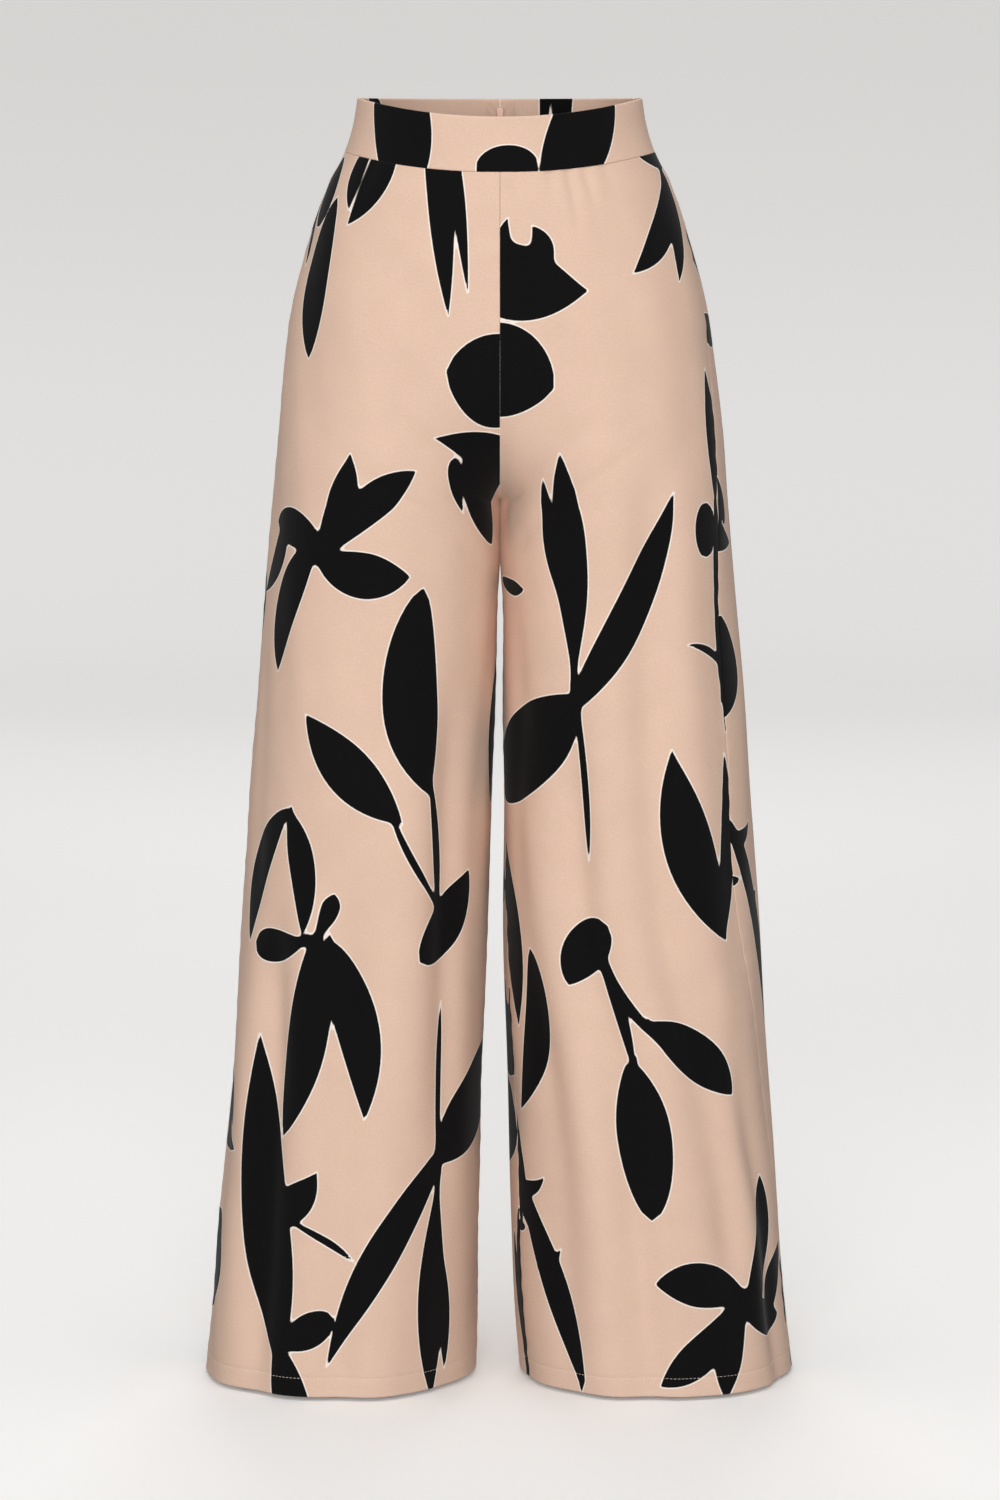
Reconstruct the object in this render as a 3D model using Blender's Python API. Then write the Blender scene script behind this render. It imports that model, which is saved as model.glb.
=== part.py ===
# Palazzo pants: a high waistband, two wide legs, each cut as a front and a back panel, and a
# concealed zip at the centre back. Metres, +Z up. The front faces -Y, so the wearer's left is
# +X. The origin is the middle of the waist, halfway up the waistband at the sides. Every cloth
# piece is a thin wall on the filled-out form, and touching pieces keep a seam gap.

import math
from collections import namedtuple

import bmesh
import bpy
import numpy as np

for old in list(bpy.data.objects):
    bpy.data.objects.remove(old, do_unlink=True)

MM = 0.001

# Cloth and seams, millimetres
PANEL_WALL = 1.4
BAND_WALL = 2.4
SEAM_GAP = 0.3
ZIP_SLIT = 1.6

# Heights at the side of the body, millimetres
BAND_TOP = 22.0
WAIST_SEAM = -22.0
RISE_BEND = -175.0
CROTCH = -306.0
HEM = -1036.0
FRONT_DIP = 15.5

# How tightly the middle seam turns from its straight fall to run under the body: 1 gives a
# quarter of an ellipse, and less gives a straighter fall and a tighter turn
FRONT_TURN = 0.95
BACK_TURN = 0.85
SIDE_FULLNESS = 0.92
SMALLEST_BEND = 0.001

# The form, in millimetres: half width, depth in front of and behind the side, the share of the
# half width that is flat in the middle, half the space between the legs, and how far each side
# seam and the left inner leg seam have come forward of the widest point
Section = namedtuple(
    "Section",
    "height outer front back flat space_left space_right side_left side_right inner_left",
)
SECTIONS = [
    Section(22, 116.5, 95, 97, 0.02, 0, 0, 0, 0, 0),
    Section(0, 120.0, 97, 99, 0.03, 0, 0, 0, 0, 0),
    Section(-22, 127.0, 99, 102, 0.05, 0, 0, 4, 2, 0),
    Section(-45, 139.0, 102, 107, 0.10, 0, 0, 8, 3, 0),
    Section(-70, 149.0, 104, 112, 0.15, 0, 0, 12, 4, 0),
    Section(-95, 157.0, 106, 117, 0.20, 0, 0, 17, 5, 0),
    Section(-145, 170.5, 109, 124, 0.29, 0, 0, 27, 6, 0),
    Section(-195, 177.5, 111, 128, 0.37, 0, 0, 37, 6, 0),
    Section(-245, 183.0, 112, 129, 0.44, 0, 0, 47, 6, 0),
    Section(-306, 187.5, 113, 128, 0.50, 0.5, 0.5, 57, 6, 0),
    Section(-345, 190.6, 113, 126.5, 0.50, 0.6, 0.6, 63, 6, 0),
    Section(-390, 194.0, 113, 125, 0.50, 2.4, 2.0, 68, 6, 0),
    Section(-500, 203.5, 113, 122, 0.50, 3.2, 5.0, 72, 6, 2),
    Section(-640, 214.0, 114, 120, 0.50, 4.2, 9.5, 72, 6, 12),
    Section(-780, 223.5, 115, 119, 0.50, 7.5, 14.0, 40, 6, 34),
    Section(-900, 233.0, 116, 119, 0.50, 11.0, 18.0, 20, 6, 42),
    Section(-980, 240.0, 117, 119, 0.50, 14.5, 19.8, 16, 6, 43),
    Section(-1036, 246.0, 118, 120, 0.50, 19.0, 21.0, 14, 6, 43),
]

# The largest folds. "start" and "end" say how far round the panel the fold runs at its top and
# at its foot, from 0 at the front edge to 1 at the back edge; depth below 0 is a trough
Fold = namedtuple("Fold", "panel start end depth width top foot")
FOLDS = [
    Fold("front_left", 0.72, 0.74, -4.5, 30, -260, -860),
    Fold("front_left", 0.46, 0.44, -4.0, 26, -420, -1060),
    Fold("front_left", 0.84, 0.86, -4.5, 24, -760, -1080),
    Fold("front_left", 0.22, 0.20, -3.0, 26, -640, -1080),
    Fold("front_right", 0.30, 0.27, -4.0, 26, -400, -820),
    Fold("front_right", 0.56, 0.50, -4.0, 28, -560, -1080),
    Fold("front_right", 0.74, 0.72, -5.0, 26, -580, -1060),
    Fold("back_left", 0.30, 0.27, -5.0, 32, -330, -1080),
    Fold("back_left", 0.58, 0.60, -5.5, 34, -420, -1080),
    Fold("back_left", 0.83, 0.80, -4.0, 28, -560, -1080),
    Fold("back_right", 0.26, 0.24, -4.5, 30, -480, -1080),
    Fold("back_right", 0.52, 0.50, -5.5, 34, -340, -1080),
    Fold("back_right", 0.78, 0.80, -4.5, 28, -520, -1080),
]
FOLD_FADE = 150.0
FOLD_LEFT_AT_FOOT = 0.2
FOLD_EDGE = 0.06

# Mesh spacing
RING_STEPS = 96
PANEL_COLUMNS = 14
BAND_COLUMNS = 10
BAND_ROWS = 3
WAIST_ROWS = 5
RISE_ROWS = 9
LEG_ROWS = 17

# The zip, millimetres: layers inwards from the outer face of the cloth, and the slider
ZIP_TOP = 19.0
ZIP_FOOT = -182.0
ZIP_ROWS = 12
TAPE_WIDTH = 12.0
TAPE_WALL = 0.8
TAPE_GAP = 1.0
TAPE_POINTS = 4
COIL_WIDTH = 4.0
COIL_WALL = 1.5
SLIDER_FOOT = 6.0
SLIDER_HEIGHT = 9.0
SLIDER_WIDTH = 6.4
SLIDER_DEPTH = 3.6
SLIDER_CLEARANCE = 0.2
SLIDER_ROUNDING = 0.8
STEM_HEIGHT = 3.0
STEM_ROOT = 1.0
CROWN_WALL = 1.0
CROWN_RADIUS = 2.1
CROWN_HOLE = 1.25
HINGE_HEIGHT = 13.0
HINGE_STAND_OFF = 1.35
PULL_LENGTH = 21.0
PULL_WIDTH = 5.6
PULL_NECK = 4.2
PULL_WALL = 1.2
PULL_EYE = 4.4
PULL_WAIST = 3.4
PULL_WAIST_DROP = 6.4
PULL_FOOT_STEPS = 8
WINDOW_WIDTH = 2.6
WINDOW_HEIGHT = 3.0
DISC_SEGMENTS = 28

SHARP_ANGLE = math.radians(40)

SIDES = {"left": 1.0, "right": -1.0}


def section_at(height):
    """The form at one height, on a smooth curve through the table's rows."""
    heights = np.array([row.height for row in SECTIONS], float)[::-1]
    values = np.array(SECTIONS, float)[::-1]
    slopes = np.gradient(values, heights, axis=0)
    height = min(max(height, heights[0]), heights[-1])
    low = min(np.searchsorted(heights, height, side="right") - 1, len(heights) - 2)
    span = heights[low + 1] - heights[low]
    t = (height - heights[low]) / span
    near = (1 + 2 * t) * (1 - t) ** 2 * values[low] + t * (1 - t) ** 2 * span * slopes[low]
    far = t * t * (3 - 2 * t) * values[low + 1] - t * t * (1 - t) * span * slopes[low + 1]
    return Section(*(near + far))


def smooth_step(value):
    value = np.clip(value, 0.0, 1.0)
    return value * value * (3 - 2 * value)


def middle_seam(depth, turn, part):
    """Where a row ends on the seam that runs down the middle and under the body.

    part is the share of the seam's bend that lies above the row. Returns how far out the end
    still is, as a share of the depth, and its height.
    """
    angle = np.linspace(0, math.pi / 2, RING_STEPS)
    reach = np.abs(np.cos(angle)) ** turn
    reach[-1] = 0.0
    height = RISE_BEND + (CROTCH - RISE_BEND) * np.sin(angle) ** turn
    along = np.concatenate([[0.0], np.cumsum(np.hypot(np.diff(reach) * depth, np.diff(height)))])
    place = part * along[-1]
    return np.interp(place, along, reach), np.interp(place, along, height)


def half_row(section, space, depth, reach, end_drop):
    """Half a row, from the side round to its end in the middle or at the inner leg.

    A quarter ellipse runs from the side to the flat middle. From there the row goes on to the
    middle plane, where it is still out at reach times the depth: 1 keeps it flat, and 0 closes
    it round the leg.
    """
    centre = space + (section.outer - space) * section.flat
    angle = np.linspace(0, math.pi / 2, RING_STEPS)
    x = centre + (section.outer - centre) * np.cos(angle)
    y = depth * np.sin(angle) ** SIDE_FULLNESS
    bend = max(math.acos(min(reach ** (1 / SIDE_FULLNESS), 1.0)), SMALLEST_BEND)
    inward = np.linspace(0, bend, RING_STEPS)[1:]
    x = np.concatenate([x, centre - (centre - space) * np.sin(inward) / math.sin(bend)])
    y = np.concatenate([y, depth * np.abs(np.cos(inward)) ** SIDE_FULLNESS])
    along = np.concatenate([[0.0], np.cumsum(np.hypot(np.diff(x), np.diff(y)))])
    return x, y, end_drop * (along / along[-1]) ** 3


def ring(side_name, height, part):
    """One row of the cloth round half the body, from the front edge to the back edge.

    part is 0 above the bend of the middle seam and 1 on the leg. Returns the row's points,
    their outward directions, the distance along it of each point, and where the front edge,
    the side seam and the back edge are.
    """
    side = SIDES[side_name]
    section = section_at(height)
    space = max(getattr(section, "space_" + side_name), SEAM_GAP / 2)
    halves = []
    for depth, turn in ((section.front, FRONT_TURN), (section.back, BACK_TURN)):
        reach, end_height = middle_seam(depth, turn, part)
        end_drop = end_height - height if 0 < part < 1 else 0.0
        halves.append(half_row(section, space, depth, reach, end_drop))
    front, back = halves
    waist = smooth_step((height - RISE_BEND) / (WAIST_SEAM - RISE_BEND))
    dip = -FRONT_DIP * waist * (front[1] / section.front) ** 2
    x = np.concatenate([front[0][::-1], back[0][1:]])
    y = np.concatenate([-front[1][::-1], back[1][1:]])
    z = height + np.concatenate([(front[2] + dip)[::-1], back[2][1:]])
    points = np.column_stack([side * x, y, z])
    lengths = np.linalg.norm(np.diff(points, axis=0), axis=1)
    half_count = len(front[0]) - 1
    side_mark = lengths[:half_count].sum() - getattr(section, "side_" + side_name)
    front_mark = section.inner_left if side_name == "left" and part >= 1 else 0.0
    back_mark = lengths.sum() + front_mark
    if part >= 1:
        points = np.concatenate([points, points[1:half_count]])
        lengths = np.concatenate([lengths, lengths[: half_count - 1]])
    along = np.concatenate([[0.0], np.cumsum(lengths)])
    tangent = np.gradient(points[:, :2], axis=0)
    tangent /= np.linalg.norm(tangent, axis=1)[:, None]
    outward = side * np.column_stack([tangent[:, 1], -tangent[:, 0], 0 * tangent[:, 0]])
    return points, outward, along, {"front": front_mark, "side": side_mark, "back": back_mark}


def read_ring(row, marks):
    """Points and outward directions of a row at the given distances along it."""
    points, outward, along, _ = row
    places = np.column_stack([np.interp(marks, along, points[:, axis]) for axis in range(3)])
    aims = np.column_stack([np.interp(marks, along, outward[:, axis]) for axis in range(3)])
    return places, aims / np.linalg.norm(aims, axis=1)[:, None]


def fold_depth(panel, around, heights, girth):
    """How far the folds of a panel move its points, outwards above 0."""
    total = np.zeros_like(around)
    for fold in FOLDS:
        if fold.panel != panel:
            continue
        down = np.clip((fold.top - heights) / (fold.top - fold.foot), 0, 1)
        centre = fold.start + (fold.end - fold.start) * down
        shape = np.exp(-(((around - centre) * girth / fold.width) ** 2))
        start = smooth_step((fold.top - heights) / FOLD_FADE)
        end = smooth_step((heights - fold.foot) / FOLD_FADE + FOLD_LEFT_AT_FOOT)
        total += fold.depth * shape * start * end
    return total * smooth_step(np.minimum(around, 1 - around) / FOLD_EDGE)


def rows_of_panel():
    """Height at the side, and share of the middle seam's bend, of each row down to the hem."""
    waist = np.linspace(WAIST_SEAM - SEAM_GAP, RISE_BEND, WAIST_ROWS, endpoint=False)
    bend = np.linspace(0, 1, RISE_ROWS, endpoint=False)
    rows = [(height, 0.0) for height in waist]
    rows += [(RISE_BEND + (CROTCH - RISE_BEND) * part, part) for part in bend]
    return rows + [(height, 1.0) for height in np.linspace(CROTCH, HEM, LEG_ROWS)]


def panel_grid(face, side_name):
    """Outer and inner points of a leg panel, as arrays of rows by columns."""
    outer = []
    inner = []
    for height, part in rows_of_panel():
        row = ring(side_name, height, part)
        ends = row[3]
        trim = SEAM_GAP / 2 if part >= 1 else 0.0
        if part == 0 and height > ZIP_FOOT:
            slit = (ZIP_SLIT - SEAM_GAP) / 2
        else:
            slit = 0.0
        if face == "front":
            marks = (ends["front"] + trim, ends["side"] - SEAM_GAP / 2)
        else:
            marks = (ends["side"] + SEAM_GAP / 2, ends["back"] - trim - slit)
        marks = np.linspace(*marks, PANEL_COLUMNS + 1)
        places, aims = read_ring(row, marks)
        around = (marks - marks[0]) / (marks[-1] - marks[0])
        moved = fold_depth(face + "_" + side_name, around, places[:, 2], marks[-1] - marks[0])
        places = places + aims * moved[:, None]
        outer.append(places)
        inner.append(places - aims * PANEL_WALL)
    return np.array(outer), np.array(inner)


def band_grid(stretches):
    """Outer and inner points of the waistband along one or more stretches of its rows.

    A stretch is a side, the name of the mark where it starts, the name of the mark where it
    ends, and how much is trimmed from the start and the end.
    """
    outer = []
    inner = []
    for height in np.linspace(BAND_TOP, WAIST_SEAM, BAND_ROWS + 1):
        places = []
        aims = []
        for side_name, start, end, trims in stretches:
            row = ring(side_name, height, 0.0)
            ends = (row[3][start] + trims[0], row[3][end] + trims[1])
            found = read_ring(row, np.linspace(*ends, BAND_COLUMNS + 1))
            places.extend(found[0] if not places else found[0][1:])
            aims.extend(found[1] if not aims else found[1][1:])
        outer.append(places)
        inner.append(np.array(places) - np.array(aims) * BAND_WALL)
    return np.array(outer), np.array(inner)


def material(name, colour, roughness, metallic=0.0):
    made = bpy.data.materials.new(name)
    made.use_nodes = True
    shader = made.node_tree.nodes["Principled BSDF"]
    shader.inputs["Base Color"].default_value = (*colour, 1.0)
    shader.inputs["Roughness"].default_value = roughness
    shader.inputs["Metallic"].default_value = metallic
    made.diffuse_color = (*colour, 1.0)
    return made


def add_object(name, mesh, finish):
    thing = bpy.data.objects.new(name, mesh)
    bpy.context.scene.collection.objects.link(thing)
    if finish:
        mesh.materials.append(finish)
    return thing


def wall_object(name, outer, inner, finish):
    """A closed wall between two grids of points, given in millimetres."""
    rows, columns = outer.shape[:2]
    build = bmesh.new()
    front = [[build.verts.new(point * MM) for point in line] for line in outer]
    rear = [[build.verts.new(point * MM) for point in line] for line in inner]
    for i in range(rows - 1):
        for j in range(columns - 1):
            build.faces.new((front[i][j], front[i][j + 1], front[i + 1][j + 1], front[i + 1][j]))
            build.faces.new((rear[i][j], rear[i + 1][j], rear[i + 1][j + 1], rear[i][j + 1]))
    border = [(0, j) for j in range(columns)]
    border += [(i, columns - 1) for i in range(1, rows)]
    border += [(rows - 1, j) for j in range(columns - 2, -1, -1)]
    border += [(i, 0) for i in range(rows - 2, 0, -1)]
    for (i, j), (k, m) in zip(border, border[1:] + border[:1]):
        build.faces.new((front[i][j], rear[i][j], rear[k][m], front[k][m]))
    bmesh.ops.recalc_face_normals(build, faces=build.faces)
    mesh = bpy.data.meshes.new(name)
    build.to_mesh(mesh)
    build.free()
    mesh.shade_smooth()
    mesh.set_sharp_from_angle(angle=SHARP_ANGLE)
    return add_object(name, mesh, finish)


def back_face(height):
    """How far the outer face of the cloth is behind the middle, at the centre back."""
    return section_at(height).back


def tape_grid(side_name, heights):
    """A zip tape on the inner face of the cloth, beside the centre back."""
    depth = BAND_WALL + TAPE_GAP
    outer = []
    inner = []
    for height in heights:
        row = ring(side_name, height, 0.0)
        across = np.linspace(ZIP_SLIT / 2, TAPE_WIDTH, TAPE_POINTS)
        places, aims = read_ring(row, row[3]["back"] - across)
        outer.append(places - aims * depth)
        inner.append(places - aims * (depth + TAPE_WALL))
    return np.array(outer), np.array(inner)


def coil_grid(heights):
    """The closed row of teeth, inside the tapes."""
    across = np.array([-COIL_WIDTH / 2, COIL_WIDTH / 2])
    depth = BAND_WALL + TAPE_GAP + TAPE_WALL + SEAM_GAP
    outer = []
    inner = []
    for height in heights:
        face = back_face(height) - depth
        outer.append([(x, face, height) for x in across])
        inner.append([(x, face - COIL_WALL, height) for x in across])
    return np.array(outer), np.array(inner)


def box(name, low, high, finish=None):
    """A plain block between two corners, in millimetres."""
    build = bmesh.new()
    bmesh.ops.create_cube(build, size=1.0)
    low = np.array(low, float)
    high = np.array(high, float)
    for corner in build.verts:
        corner.co = ((np.array(corner.co) + 0.5) * (high - low) + low) * MM
    mesh = bpy.data.meshes.new(name)
    build.to_mesh(mesh)
    build.free()
    return add_object(name, mesh, finish)


def disc(name, radius, thickness, centre):
    """A disc that faces the side, in millimetres."""
    build = bmesh.new()
    bmesh.ops.create_cone(
        build,
        cap_ends=True,
        segments=DISC_SEGMENTS,
        radius1=radius * MM,
        radius2=radius * MM,
        depth=thickness * MM,
    )
    mesh = bpy.data.meshes.new(name)
    build.to_mesh(mesh)
    build.free()
    thing = add_object(name, mesh, None)
    thing.rotation_euler = (0, math.pi / 2, 0)
    thing.location = [value * MM for value in centre]
    return thing


def join_shape(thing, other, operation):
    """Adds another shape to this one, or cuts it away, and hides it as a helper."""
    change = thing.modifiers.new(other.name, "BOOLEAN")
    change.operation = operation
    change.object = other
    other.hide_render = True
    other.display_type = "WIRE"


def slider(finish):
    """The slider behind the tapes, with a flat crown that reaches out through the slit."""
    inside = back_face(HINGE_HEIGHT) - BAND_WALL - TAPE_GAP - TAPE_WALL - SEAM_GAP
    top = SLIDER_FOOT + SLIDER_HEIGHT
    axis = back_face(HINGE_HEIGHT) + HINGE_STAND_OFF
    half = SLIDER_WIDTH / 2
    body = box(
        "zip_slider",
        (-half, inside - SLIDER_DEPTH, SLIDER_FOOT),
        (half, inside - SLIDER_CLEARANCE, top),
        finish,
    )
    bevel = body.modifiers.new("rounded", "BEVEL")
    bevel.width = SLIDER_ROUNDING * MM
    bevel.segments = 2
    stem = box(
        "slider_stem",
        (-CROWN_WALL / 2, inside - STEM_ROOT, HINGE_HEIGHT - STEM_HEIGHT / 2),
        (CROWN_WALL / 2, axis, HINGE_HEIGHT + STEM_HEIGHT / 2),
    )
    centre = (0, axis, HINGE_HEIGHT)
    crown = disc("slider_crown", CROWN_RADIUS, CROWN_WALL, centre)
    hole = disc("slider_hole", CROWN_HOLE, 3 * CROWN_WALL, centre)
    join_shape(body, stem, "UNION")
    join_shape(body, crown, "UNION")
    join_shape(body, hole, "DIFFERENCE")
    return centre


def pull_outline():
    """Half width of the pull tab at each distance below its hinge, ending in a round foot."""
    half = PULL_WIDTH / 2
    straight = PULL_LENGTH - half
    outline = [(PULL_NECK / 2, -PULL_WALL / 2), (PULL_NECK / 2, PULL_EYE)]
    outline += [(PULL_WAIST / 2, PULL_WAIST_DROP), (half, straight)]
    for step in range(1, PULL_FOOT_STEPS):
        angle = step / PULL_FOOT_STEPS * math.pi / 2
        outline.append((half * math.cos(angle), straight + half * math.sin(angle)))
    outline.append((0.0, PULL_LENGTH))
    return outline


def pull(centre, finish):
    """The pull tab: a flat drop with a window whose top bar lies in the slider's crown."""
    half = pull_outline()
    loop = half + [(-x, z) for x, z in half[-2::-1]]
    build = bmesh.new()
    near = [build.verts.new((x * MM, -PULL_WALL / 2 * MM, -z * MM)) for x, z in loop]
    face = build.faces.new(near)
    made = bmesh.ops.extrude_face_region(build, geom=[face])
    moved = [item for item in made["geom"] if isinstance(item, bmesh.types.BMVert)]
    bmesh.ops.translate(build, verts=moved, vec=(0, PULL_WALL * MM, 0))
    bmesh.ops.recalc_face_normals(build, faces=build.faces)
    mesh = bpy.data.meshes.new("zip_pull")
    build.to_mesh(mesh)
    build.free()
    tab = add_object("zip_pull", mesh, finish)
    lean = math.atan2(
        back_face(HINGE_HEIGHT - PULL_LENGTH) - back_face(HINGE_HEIGHT), PULL_LENGTH
    )
    place = [value * MM for value in centre]
    window = box(
        "pull_window",
        (-WINDOW_WIDTH / 2, -PULL_WALL, -PULL_WALL / 2 - WINDOW_HEIGHT),
        (WINDOW_WIDTH / 2, PULL_WALL, -PULL_WALL / 2),
    )
    for thing in (tab, window):
        thing.location = place
        thing.rotation_euler = (lean, 0, 0)
    join_shape(tab, window, "DIFFERENCE")
    return tab


cloth = material("printed crepe", (0.70, 0.49, 0.40), 0.75)
band_cloth = material("stiffened printed crepe", (0.66, 0.46, 0.38), 0.75)
tape_cloth = material("woven zip tape", (0.62, 0.44, 0.37), 0.8)
coil_nylon = material("nylon coil", (0.55, 0.38, 0.32), 0.45)
slider_metal = material("painted zinc", (0.45, 0.33, 0.29), 0.4, 0.3)

gap = SEAM_GAP / 2
slit_trim = (ZIP_SLIT - SEAM_GAP) / 2

for side in SIDES:
    wall_object("front_panel_" + side, *panel_grid("front", side), cloth)
    wall_object("back_panel_" + side, *panel_grid("back", side), cloth)
    back_stretch = (side, "side", "back", (gap, -slit_trim))
    wall_object("waistband_back_" + side, *band_grid([back_stretch]), band_cloth)

front_stretches = [("right", "side", "front", (-gap, 0.0)), ("left", "front", "side", (0.0, -gap))]
wall_object("waistband_front", *band_grid(front_stretches), band_cloth)

tape_heights = np.linspace(ZIP_TOP, ZIP_FOOT, ZIP_ROWS + 1)
for side in SIDES:
    wall_object("zip_tape_" + side, *tape_grid(side, tape_heights), tape_cloth)
coil_heights = np.linspace(SLIDER_FOOT - SEAM_GAP, ZIP_FOOT, ZIP_ROWS + 1)
wall_object("zip_coil", *coil_grid(coil_heights), coil_nylon)
pull(slider(slider_metal), slider_metal)
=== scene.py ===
import math
from functools import lru_cache

import bpy
import numpy as np
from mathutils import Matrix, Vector


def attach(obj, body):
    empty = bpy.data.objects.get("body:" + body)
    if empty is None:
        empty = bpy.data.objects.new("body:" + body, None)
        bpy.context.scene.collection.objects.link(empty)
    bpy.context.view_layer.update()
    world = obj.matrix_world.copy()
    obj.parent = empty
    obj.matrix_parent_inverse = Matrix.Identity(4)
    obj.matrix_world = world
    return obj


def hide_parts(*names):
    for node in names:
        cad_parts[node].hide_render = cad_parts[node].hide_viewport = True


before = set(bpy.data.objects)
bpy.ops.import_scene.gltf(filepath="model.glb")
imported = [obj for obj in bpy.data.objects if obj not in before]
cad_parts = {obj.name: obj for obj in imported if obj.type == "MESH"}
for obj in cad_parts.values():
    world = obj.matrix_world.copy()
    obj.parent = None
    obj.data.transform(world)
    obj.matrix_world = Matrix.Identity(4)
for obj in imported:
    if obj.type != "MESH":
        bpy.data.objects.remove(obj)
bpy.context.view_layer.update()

# Palazzo pants of a printed crepe, filled out as worn and empty, on a pale studio floor. The
# front faces -Y, and left is the wearer's left, +X. Sizes are in millimetres unless a comment
# says otherwise.
mm = 0.001
sides = {"left": 1.0, "right": -1.0}

# The form that the cloth hangs on

form = {
    "bandTop": 22.0,
    "waistSeam": -22.0,
    "riseBend": -175.0,
    "crotch": -306.0,
    "hem": -1036.0,
    "frontDip": 15.5,  # how far the waist dips at the centre front
    "frontTurn": 0.95,  # how tightly the middle seam turns under the body
    "backTurn": 0.85,
    "sideFullness": 0.92,
    "seamGap": 0.06,
    "zipSlit": 1.6,
    "ringSteps": 220,
    # half width, depth in front and behind, flat share of the half width, half the space
    # between the legs, and how far the side seams and the left inner seam have come forward
    "columns": "height outer front back flat spaceLeft spaceRight seamLeft seamRight innerLeft",
    "rows": [
        (22, 116.5, 95, 97, 0.02, 0, 0, 0, 0, 0),
        (0, 120.0, 97, 99, 0.03, 0, 0, 0, 0, 0),
        (-22, 127.0, 99, 102, 0.05, 0, 0, 4, 2, 0),
        (-45, 139.0, 102, 107, 0.10, 0, 0, 8, 3, 0),
        (-70, 149.0, 104, 112, 0.15, 0, 0, 12, 4, 0),
        (-95, 157.0, 106, 117, 0.20, 0, 0, 17, 5, 0),
        (-145, 170.5, 109, 124, 0.29, 0, 0, 27, 6, 0),
        (-195, 177.5, 111, 128, 0.37, 0, 0, 37, 6, 0),
        (-245, 183.0, 112, 129, 0.44, 0, 0, 47, 6, 0),
        (-306, 187.5, 113, 128, 0.50, 0, 0, 57, 6, 0),
        (-345, 190.6, 113, 126.5, 0.50, 0, 0, 63, 6, 0),
        (-390, 194.0, 113, 125, 0.50, 2.4, 2.0, 68, 6, 0),
        (-500, 203.5, 113, 122, 0.50, 3.2, 5.0, 72, 6, 2),
        (-640, 214.0, 114, 120, 0.50, 4.2, 9.5, 72, 6, 12),
        (-780, 223.5, 115, 119, 0.50, 7.5, 14.0, 40, 6, 34),
        (-900, 233.0, 116, 119, 0.50, 11.0, 18.0, 20, 6, 42),
        (-980, 240.0, 117, 119, 0.50, 14.5, 19.8, 16, 6, 43),
        (-1036, 246.0, 118, 120, 0.50, 19.0, 21.0, 14, 6, 43),
    ],
}
sectionTable = np.array(form["rows"], float)[::-1]
sectionSlopes = np.gradient(sectionTable, sectionTable[:, 0], axis=0)


def sectionAt(height):
    # the form at one height, on a smooth curve through the table's rows
    heights = sectionTable[:, 0]
    height = min(max(height, heights[0]), heights[-1])
    low = min(np.searchsorted(heights, height, side="right") - 1, len(heights) - 2)
    span = heights[low + 1] - heights[low]
    t = (height - heights[low]) / span
    values, slopes = sectionTable, sectionSlopes * span
    found = (1 + 2 * t) * (1 - t) ** 2 * values[low] + t * (1 - t) ** 2 * slopes[low]
    found += t * t * (3 - 2 * t) * values[low + 1] - t * t * (1 - t) * slopes[low + 1]
    return dict(zip(form["columns"].split(), found))


def smoothStep(value):
    value = np.clip(value, 0.0, 1.0)
    return value * value * (3 - 2 * value)


def lengthAlong(*axes):
    steps = np.sqrt(sum(np.diff(axis) ** 2 for axis in axes))
    return np.concatenate([[0.0], np.cumsum(steps)])


def middleSeam(depth, turn, part):
    # where a row ends on the seam down the middle: its share of the depth, and its height
    angle = np.linspace(0, math.pi / 2, form["ringSteps"])
    reach = np.abs(np.cos(angle)) ** turn
    reach[-1] = 0.0
    height = form["riseBend"] + (form["crotch"] - form["riseBend"]) * np.sin(angle) ** turn
    along = lengthAlong(reach * depth, height)
    return np.interp(part * along[-1], along, reach), np.interp(part * along[-1], along, height)


def halfRow(section, space, depth, reach, endDrop):
    # from the side round to the middle plane or the inner leg, flat in the middle
    fullness = form["sideFullness"]
    centre = space + (section["outer"] - space) * section["flat"]
    angle = np.linspace(0, math.pi / 2, form["ringSteps"])
    x = centre + (section["outer"] - centre) * np.cos(angle)
    y = depth * np.sin(angle) ** fullness
    bend = max(math.acos(min(reach ** (1 / fullness), 1.0)), 0.001)
    inward = np.linspace(0, bend, form["ringSteps"])[1:]
    x = np.concatenate([x, centre - (centre - space) * np.sin(inward) / math.sin(bend)])
    y = np.concatenate([y, depth * np.abs(np.cos(inward)) ** fullness])
    along = lengthAlong(x, y)
    return x, y, endDrop * (along / along[-1]) ** 3


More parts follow.
